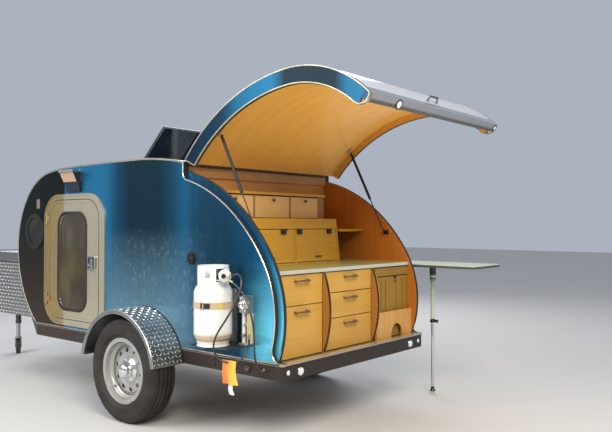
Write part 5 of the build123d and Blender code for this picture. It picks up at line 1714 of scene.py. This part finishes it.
# Fittings of the gas bottle
gas = {
    "bottle": (-772, 905),
    "bottleRadius": 112,
    "valveHigh": 988,
    "wayOut": (-0.979, 0.204, 0),
    # the valve's knob as (radius, height)
    "knob": ((8, 1009), (23, 1009.5), (26, 1012), (26, 1023), (23.5, 1026.5), (12, 1028), (8, 1027.5)),
    "knobLobes": 8,
    "lobe": 1.4,
    # height, axis, (radius, height) profile, sides
    "brass": (
        (1027, (0, 0, 1), [(7, 0), (7, 4), (3, 5), (0, 5)], 6),
        (960, (0, 0, 1), [(15, -6), (21, -4), (21, 10), (17, 13), (17, 18), (15, 20)], 24),
        (988, (-0.979, 0.204, 0), [(11, 30), (15.5, 31), (15.5, 47), (12, 49)], 6),
        (988, (0.979, -0.204, 0), [(8, 12), (8, 22), (5, 24), (5, 28), (0, 28.5)], 12)),
    "wheel": [(11, 50), (18, 51), (20.5, 54), (20.5, 68), (18, 71), (15, 72), (14, 80), (10.5, 81)],
    "regulator": (-896.4, 930.9, 988),
    "face": (-0.5, 0.866, 0),
    "button": [(12, 24), (14, 24.5), (14, 30), (11, 33), (0, 33.5)],
    "drum": [(30, -22), (33, -19), (33.5, -4), (37.5, -3.2), (37.5, 3.2), (33.5, 4), (33, 15), (28, 19.5),
             (22, 21), (21, 24.5), (13, 25)],
    "drumScrews": (8, 35),                                  # how many, on which radius
    "footRings": ((601, 92), (581.5, 92.5)),                # height, radius
    # curved plates on the strap: degrees, heights, distances out from the bottle
    "strapPatch": ((152, 166, 802, 830, 2.6, 4.2),),
    "strapBuckle": (
        (168, 186, 797.5, 836.5, 2.6, 4.6), (96, 99, 797, 837, 2, 7), (106, 109, 797, 837, 2, 7),
        (98, 107, 796, 800, 2, 7), (98, 107, 834, 838, 2, 7)),
    "strapTail": ((99, 128, 802, 832, 3.2, 5),),
    "outlet": (-930, 820, 818),
    "valve": [(24, 0), (24, 3), (20, 6), (15, 7), (15, 16), (18, 18), (18, 25), (13, 28), (0, 29)],
    "lever": ((0, 20, 0, 5), (-14, 24, -12, 6.5), (-30, 25, -30, 5)),       # from the outlet, radius
    "plateScrew": [(6, 0), (6, 3), (3.4, 4.6), (0, 4.8)],
    "plateScrews": ((16, 32), (-16, -34)),                  # from the outlet
    "pipe": (-916, 796),
    "pipeRings": (640, 700, 762),
    "pipeRing": [(11.2, -9), (14.5, -8), (14.5, 8), (11.2, 9)],
    "wallScrews": ((-957, 862), (-905, 588), (-905, 862)),
    "bracketScrews": ((-820, -724), (610, 700, 885)),
    "tag": {"top": 520, "middle": (-960, 955), "wide": 118, "long": 134, "tail": (38, 66)},
}


def gasFittings(values):
    x, y = values["bottle"]
    lobes = values["knobLobes"]
    knob, brassware, wheel, drum = Maker(), Maker(), Maker(), Maker()
    rings = []
    for radius, z in values["knob"]:
        lobe, ring = values["lobe"] if radius > 20 else 0, []
        for turn in turns(48):
            reach = radius + lobe * math.cos(turn * lobes)
            ring.append((x + reach * math.cos(turn), y + reach * math.sin(turn), z))
        rings.append(ring)
    knob.rings(rings)
    knob.done("valveKnob", plastic("valveRed", (0.42, 0.035, 0.012), 0.4, 0.2))
    for high, way, profile, sides in values["brass"]:
        brassware.lathe((x, y, high), way, profile, sides)
    brassware.done("valveBrass", crimpBrass)
    centre, face = Vector(values["regulator"]), Vector(values["face"])
    wheel.lathe((x, y, values["valveHigh"]), values["wayOut"], values["wheel"], 16)
    wheel.lathe(centre, face, values["button"], 8)
    wheel.done("regulatorWheel", glossBlack)
    drum.lathe(centre, face, values["drum"], 40)
    drum.done("regulatorDrum", finishes["gas_bracket"])
    up = Vector((0, 0, 1))
    flat = face.cross(up)
    count, reach = values["drumScrews"]
    heads = []
    for turn in [turn + math.pi / count for turn in turns(count)]:
        spot = centre + face * 3.2 + (flat * math.cos(turn) + up * math.sin(turn)) * reach
        heads.append((*spot, tuple(face)))
    studs("drumScrews", heads, 2.2, 1.4, brightScrew, sides=6)


def bottleDetails(values):
    # The foot's rolled lips, and the strap's buckle, tail and small yellow patch
    x, y = values["bottle"]
    lips = Maker()
    for level, reach in values["footRings"]:
        circle = [(x + reach * math.cos(turn), y + reach * math.sin(turn), level) for turn in turns(48)]
        lips.tube(circle, 2.6, 8, True)
    lips.done("footRings", finishes["tank"])
    looks = {
        "strapPatch": plastic("patchYellow", (0.66, 0.50, 0.05), 0.5), "strapBuckle": finishes["gas_bracket"],
        "strapTail": gasketBrown,
    }
    for name, finish in looks.items():
        maker = Maker()
        for begin, end, bottom, top, inner, outer in values[name]:
            corners = [(values["bottleRadius"] + out, z)
                       for out, z in ((inner, bottom), (outer, bottom), (outer, top), (inner, top))]
            angles = [math.radians(begin + (end - begin) * step / 8) for step in range(9)]
            maker.rings([[(x + reach * math.cos(turn), y + reach * math.sin(turn), z) for reach, z in corners]
                         for turn in angles])
        maker.done(name, finish)


def outletFittings(values):
    ox, oy, oz = values["outlet"]
    shine = Maker()
    shine.lathe((ox, oy - 1, oz), (0, 1, 0), values["valve"], 24)
    lever = [(ox + dx, oy + dy, oz + dz) for dx, dy, dz, _ in values["lever"]]
    shine.tube(lever, [thick for *_, thick in values["lever"]], 10)
    for dx, dz in values["plateScrews"]:
        shine.lathe((ox + dx, oy - 1, oz + dz), (0, 1, 0), values["plateScrew"], 14)
    for z in values["pipeRings"]:
        shine.lathe((*values["pipe"], z), (0, 0, 1), values["pipeRing"], 8)
    shine.done("outletValve", chromeFinish)
    back = [(x, 770, z, (0, 1, 0)) for x, z in values["wallScrews"]]
    studs("outletScrews", back, 3.4, 1.6, brightScrew)
    across, levels = values["bracketScrews"]
    holder = [(x, 768, z, (0, 1, 0)) for x in across for z in levels]
    studs("bracketScrews", holder, 5, 3, brightScrew, sides=6)


def ribbon(name, centre, top, wide, long, sway, material):
    # A thin hanging strip of cloth, its folds growing towards the foot
    x, y = centre
    rows, columns = 14, 12
    rings = []
    for row in range(rows + 1):
        share = row / rows
        front = []
        for column in range(columns + 1):
            across = column / columns - 0.5
            fold = sway * (0.35 + 0.65 * share) * math.sin(across * 8.0 + share * 2.4)
            px = x + across * wide * 0.94 + 5 * share * math.sin(share * 5)
            front.append((px, y + fold + 6 * math.sin(share * 3.0), top - long * share))
        back = [(px, py - 1.1, pz) for px, py, pz in front]
        rings.append(front + back[::-1])
    maker = Maker()
    maker.rings(rings)
    return maker.done(name, material, sharp=60)


def clothFinish(name, first, second):
    finish = Finish(name)
    weave = finish.calc("SINE", finish.axis(0) * 5200.0) * finish.calc("SINE", finish.axis(2) * 5200.0)
    cloud = finish.noise(30.0, 4.0, (1, 1, 0.4))
    across = finish.step(finish.mm(0) + 40.0 * (cloud - 0.5), -985, -945)
    base = finish.mix(across, second, first)
    return finish.close(base=base, roughness=0.8, sheen=0.25, normal=finish.bump(weave + cloud, 0.3, 0.0006))


def hangTag(values):
    tag = values["tag"]
    yellow = clothFinish("tagCloth", (0.80, 0.20, 0.010), (0.85, 0.50, 0.06))
    white = clothFinish("tailCloth", (0.74, 0.70, 0.62), (0.86, 0.84, 0.78))
    main = ribbon("hoseTag", tag["middle"], tag["top"], tag["wide"], tag["long"], 9, yellow)
    wide, long = tag["tail"]
    x, y = tag["middle"]
    tail = ribbon("tagTail", (x - 12, y - 2), tag["top"] - tag["long"] + 10, wide, long, 4, white)
    tag["wide"] / 1000
    tag["long"] / 1000
    wide / 1000
    long / 1000


gasFittings(gas)
bottleDetails(gas)
outletFittings(gas)
hangTag(gas)
print("gas fittings done")


# Lamps, vent, table and jack
fittings = {
    "rearLamps": (-600, 612),
    "rearLampHigh": 437,
    "rearBezel": [(21, -1), (26.5, 0), (26.5, 4), (24, 8.5), (21.3, 10.4), (21.1, 6)],
    "rearLens": [(20.8, -1), (20.6, 1), (17, 3.4), (9, 4.8), (0, 5.2)],
    "rearFace": -1190,
    "rearLensFace": -1199.5,
    "cornerLamp": (-1189.5, 716, 442),
    "sideMarker": (-917, 440),
    "markerFaces": (762, 773.5),                            # the ring's and the lens's feet
    "markerRing": [(20, -0.5), (26, 0), (26, 4), (23, 9), (20.2, 11.5)],
    "markerLens": [(8.5, -1), (8.5, 1.5), (6, 4), (0, 5)],
    "cornerLens": [(14, -1), (14, 1.5), (11, 4), (0, 5.2)],
    "reflector": ((1394, 1430), (1404, 1474), 3),           # x range, z range, cut corner
    "reflectorEdge": [(-4.2, 761), (-4.2, 767.4), (-3.2, 768.6), (-0.8, 768.6), (0, 767.4), (0, 761)],
    "ventX": (450, 830),
    "ventHalf": 190,
    "ventPin": (838, 1766),
    "ventOpen": 44,
    "lidRibHigh": (1788.5, 1792.5),
    "lidFoot": (1759.5, 1763),
    "flangeHigh": (1731, 1735),
    "flangeWide": 26,
    "lidRibs": [-144 + step * 48 for step in range(7)],
    "tableX": (-1600, -700),
    "tableY": (-1225, -780),
    "tableHigh": 980,
    "tableBolts": ((-1010, -900, -790), (-1020, -780)),     # below the bracket, on its face
    "leg": (-1150, -1002),
    # collars on the leg: height, (radius, height) profile
    "legCollars": (
        (552, [(16, -12), (20, -11), (21.5, -8), (21.5, 10), (18, 14), (16, 15)]),
        (872, [(16, -16), (19, -15), (24.5, -4), (24.5, 6), (16, 6)])),
    "legKnobAt": (20, 552),                                 # from the leg's middle, height
    "legKnob": [(5, 0), (5, 8), (12, 9), (13.5, 12), (13.5, 20), (11, 23), (0, 24)],
    "legFootHigh": 22,
    "legFoot": [(20.6, 0), (20.6, 7), (17, 12), (13.5, 20), (13, 34), (12, 36)],
    "jack": (2795.3, 187.4),
    "jackFace": (0.454, 0.891),
    "jackTrail": 28,
    "jackCollars": ((306, 12), (388, 8), (560, 8)),         # foot, height
    "jackCapHigh": 655,
    "casterHigh": 72,
    "jackCap": [(26, 0), (29.5, 1), (29.5, 10), (25, 16), (10, 19), (0, 19.5)],
    "casterHub": [(46, 20), (44, 23.5), (34, 24), (30, 21.5), (22, 21.5), (20, 25), (10, 25.5), (9, 22)],
}


def lampBezels(values):
    bezels, red, white, dark = Maker(), Maker(), Maker(), Maker()
    rear, high = (-1, 0, 0), values["rearLampHigh"]
    for y in values["rearLamps"]:
        bezels.lathe((values["rearFace"], y, high), rear, values["rearBezel"], 32)
        white.lathe((values["rearLensFace"], y, high), rear, values["rearLens"], 32)
    (x, z), (ringFoot, lensFoot) = values["sideMarker"], values["markerFaces"]
    cornerX, cornerY, cornerZ = values["cornerLamp"]
    (x0, x1), (z0, z1), cut = values["reflector"]
    edge = [(x0, z0 + cut), (x0, z1 - cut), (x0 + cut, z1), (x1 - cut, z1), (x1, z1 - cut), (x1, z0 + cut),
            (x1 - cut, z0), (x0 + cut, z0)]
    for side in (1, -1):
        dark.lathe((x, side * ringFoot, z), (0, side, 0), values["markerRing"], 28)
        red.lathe((x, side * lensFoot, z), (0, side, 0), values["markerLens"], 20)
        white.lathe((cornerX, side * cornerY, cornerZ), rear, values["cornerLens"], 24)
        bezels.sweepFlat(edge, values["reflectorEdge"], True, side)
    bezels.done("lampBezels", chromeFinish)
    red.done("markerLenses", redLens)
    white.done("clearLenses", lensClear)
    dark.done("markerRings", gasketBrown)


def ventDetails(values):
    x0, x1 = values["ventX"]
    half = values["ventHalf"]
    px, pz = values["ventPin"]
    swing = math.radians(values["ventOpen"])
    pin = at(px, 0, pz)

    def tilt(point):
        dx, dz = point.x - pin.x, point.z - pin.z
        x = pin.x + dx * math.cos(swing) + dz * math.sin(swing)
        return Vector((x, point.y, pin.z - dx * math.sin(swing) + dz * math.cos(swing)))

    lid, base = Maker(), Maker()
    for y in values["lidRibs"]:
        lid.box((x0 + 22, x1 - 26), (y - 4, y + 4), values["lidRibHigh"], 1.4)
    for y in (half + 1.5, -half - 6.5):
        lid.box((x0 - 4, x1 - 12), (y, y + 5), values["lidFoot"], 1)
    lid.box((x0 - 7.5, x0 - 3), (-half - 4, half + 4), values["lidFoot"], 1)
    lid.place(tilt)
    lid.done("ventLidRibs", plastic("ventRib", (0.10, 0.11, 0.115), 0.35, 0.3), "vent_lid")
    wide, up = values["flangeWide"], values["flangeHigh"]
    base.box((x0 - wide, x0 - 3), (-half - wide, half + wide), up, 1.2)
    for side in (1, -1):
        base.box((x0 - wide, x1 + 24), sorted((side * (half + 3), side * (half + wide))), up, 1.2)
    base.done("ventFlange", finishes["vent_base"])
    heads = [(x0 + 20 + step * 56, side * (half + 15), 1735, (0, 0, 1)) for step in range(7)
             for side in (1, -1)]
    studs("ventScrews", heads, 4, 1.6, brightScrew, sides=8)


def tableDetails(values):
    x, y = [(low + 2.6, high - 2.6) for low, high in (values["tableX"], values["tableY"])]
    path = roundRect(x, y, [38] * 4)
    edge, clamp, foot = Maker(), Maker(), Maker()
    for lift, thick, sides in ((0, 3.4, 8), (7.6, 1.6, 6)):
        edge.tube([(px, py, values["tableHigh"] + lift) for px, py in path], thick, sides, True)
    edge.done("tableEdge", rubber("tableEdge", (0.09, 0.10, 0.075), 0.5, 0.2))
    lx, ly = values["leg"]
    for high, profile in values["legCollars"]:
        clamp.lathe((lx, ly, high), (0, 0, 1), profile, 24, True)
    out, high = values["legKnobAt"]
    clamp.lathe((lx - out, ly, high), (-1, 0, 0), values["legKnob"], 12)
    clamp.done("legClamp", glossBlack)
    foot.lathe((lx, ly, values["legFootHigh"]), (0, 0, 1), values["legFoot"], 24)
    foot.done("legFoot", glossBlack, "table_leg")
    under, front = values["tableBolts"]
    heads = [(px, -790, 950, (0, 0, -1)) for px in under]
    heads += [(px, -781, 951, (0, -1, 0)) for px in front]
    studs("bracketBolts", heads, 5, 3, brightScrew, sides=6)


def jackDetails(values):
    x, y = values["jack"]
    nx, ny = values["jackFace"]
    trail = values["jackTrail"]
    tube, wheel = Maker(), Maker()
    for z, high in values["jackCollars"]:
        tube.lathe((x, y, z), (0, 0, 1), [(26, 0), (29, 1), (29, high - 1), (26, high)], 24)
    tube.lathe((x, y, values["jackCapHigh"]), (0, 0, 1), values["jackCap"], 24)
    tube.done("jackCollars", finishes["jack_tube"], "jack_tube")
    for side in (1, -1):
        hub = x + ny * trail, y - nx * trail, values["casterHigh"]
        wheel.lathe(hub, (side * nx, side * ny, 0), values["casterHub"], 28)
    wheel.done("casterHubs", plastic("casterHub", (0.20, 0.19, 0.18), 0.45), "jack_wheel")


lampBezels(fittings)
ventDetails(fittings)
tableDetails(fittings)
jackDetails(fittings)
print("fittings done")


# Floor and light
studio = {
    "floorColour": (0.62, 0.60, 0.57),
    "floorHalf": 30000,
    "skyColour": (0.78, 0.86, 1.0),
    "skyStrength": 0.6,
    "transform": "Standard",
    "look": "None",
    "exposure": -0.2,
    # place, aimed at, size in metres, watts, colour, how far its light spreads in degrees
    "lamps": [
        ((-5200, 3300, 5200), (-700, 0, 900), 3.2, 520, (1.0, 0.93, 0.82), 180),
        ((1500, 5200, 3600), (300, 700, 900), 3.5, 300, (0.92, 0.96, 1.0), 180),
        ((3500, -4200, 4200), (0, 0, 900), 4.0, 240, (0.95, 0.97, 1.0), 180),
        ((-2150, -100, 120), (-1500, -100, 2000), 1.2, 9, (1.0, 0.90, 0.74), 72),
    ],
}


def makeStudio(values):
    finish = Finish("studioFloor")
    speck = finish.noise(40.0, 4.0)
    base = finish.mix(speck * 0.12, values["floorColour"],
                      tuple(channel * 0.8 for channel in values["floorColour"]))
    floorPaint = finish.close(base=base, roughness=0.85, normal=finish.bump(speck, 0.05, 0.001))
    shape = bmesh.new()
    reach = values["floorHalf"]
    corners = [at(x, y, 0) for x, y in ((-reach, -reach), (reach, -reach), (reach, reach), (-reach, reach))]
    shape.faces.new([shape.verts.new(corner) for corner in corners])
    mesh = bpy.data.meshes.new("studioFloor")
    shape.to_mesh(mesh)
    floor = bpy.data.objects.new("studioFloor", mesh)
    bpy.context.scene.collection.objects.link(floor)
    mesh.materials.append(floorPaint)
    view = bpy.context.scene.view_settings
    view.view_transform, view.look, view.exposure = values["transform"], values["look"], values["exposure"]
    world = bpy.data.worlds.new("sky")
    bpy.context.scene.world = world
    world.use_nodes = True
    background = world.node_tree.nodes["Background"]
    background.inputs[0].default_value = (*values["skyColour"], 1)
    background.inputs[1].default_value = values["skyStrength"]
    for place, aim, size, power, colour, spread in values["lamps"]:
        data = bpy.data.lights.new("softbox", "AREA")
        data.size, data.energy, data.color, data.spread = size, power, colour, math.radians(spread)
        lamp = bpy.data.objects.new("softbox", data)
        bpy.context.scene.collection.objects.link(lamp)
        lamp.location = at(*place)
        lamp.rotation_euler = (at(*aim) - at(*place)).to_track_quat("-Z", "Y").to_euler()


makeStudio(studio)
print("floor and light done")
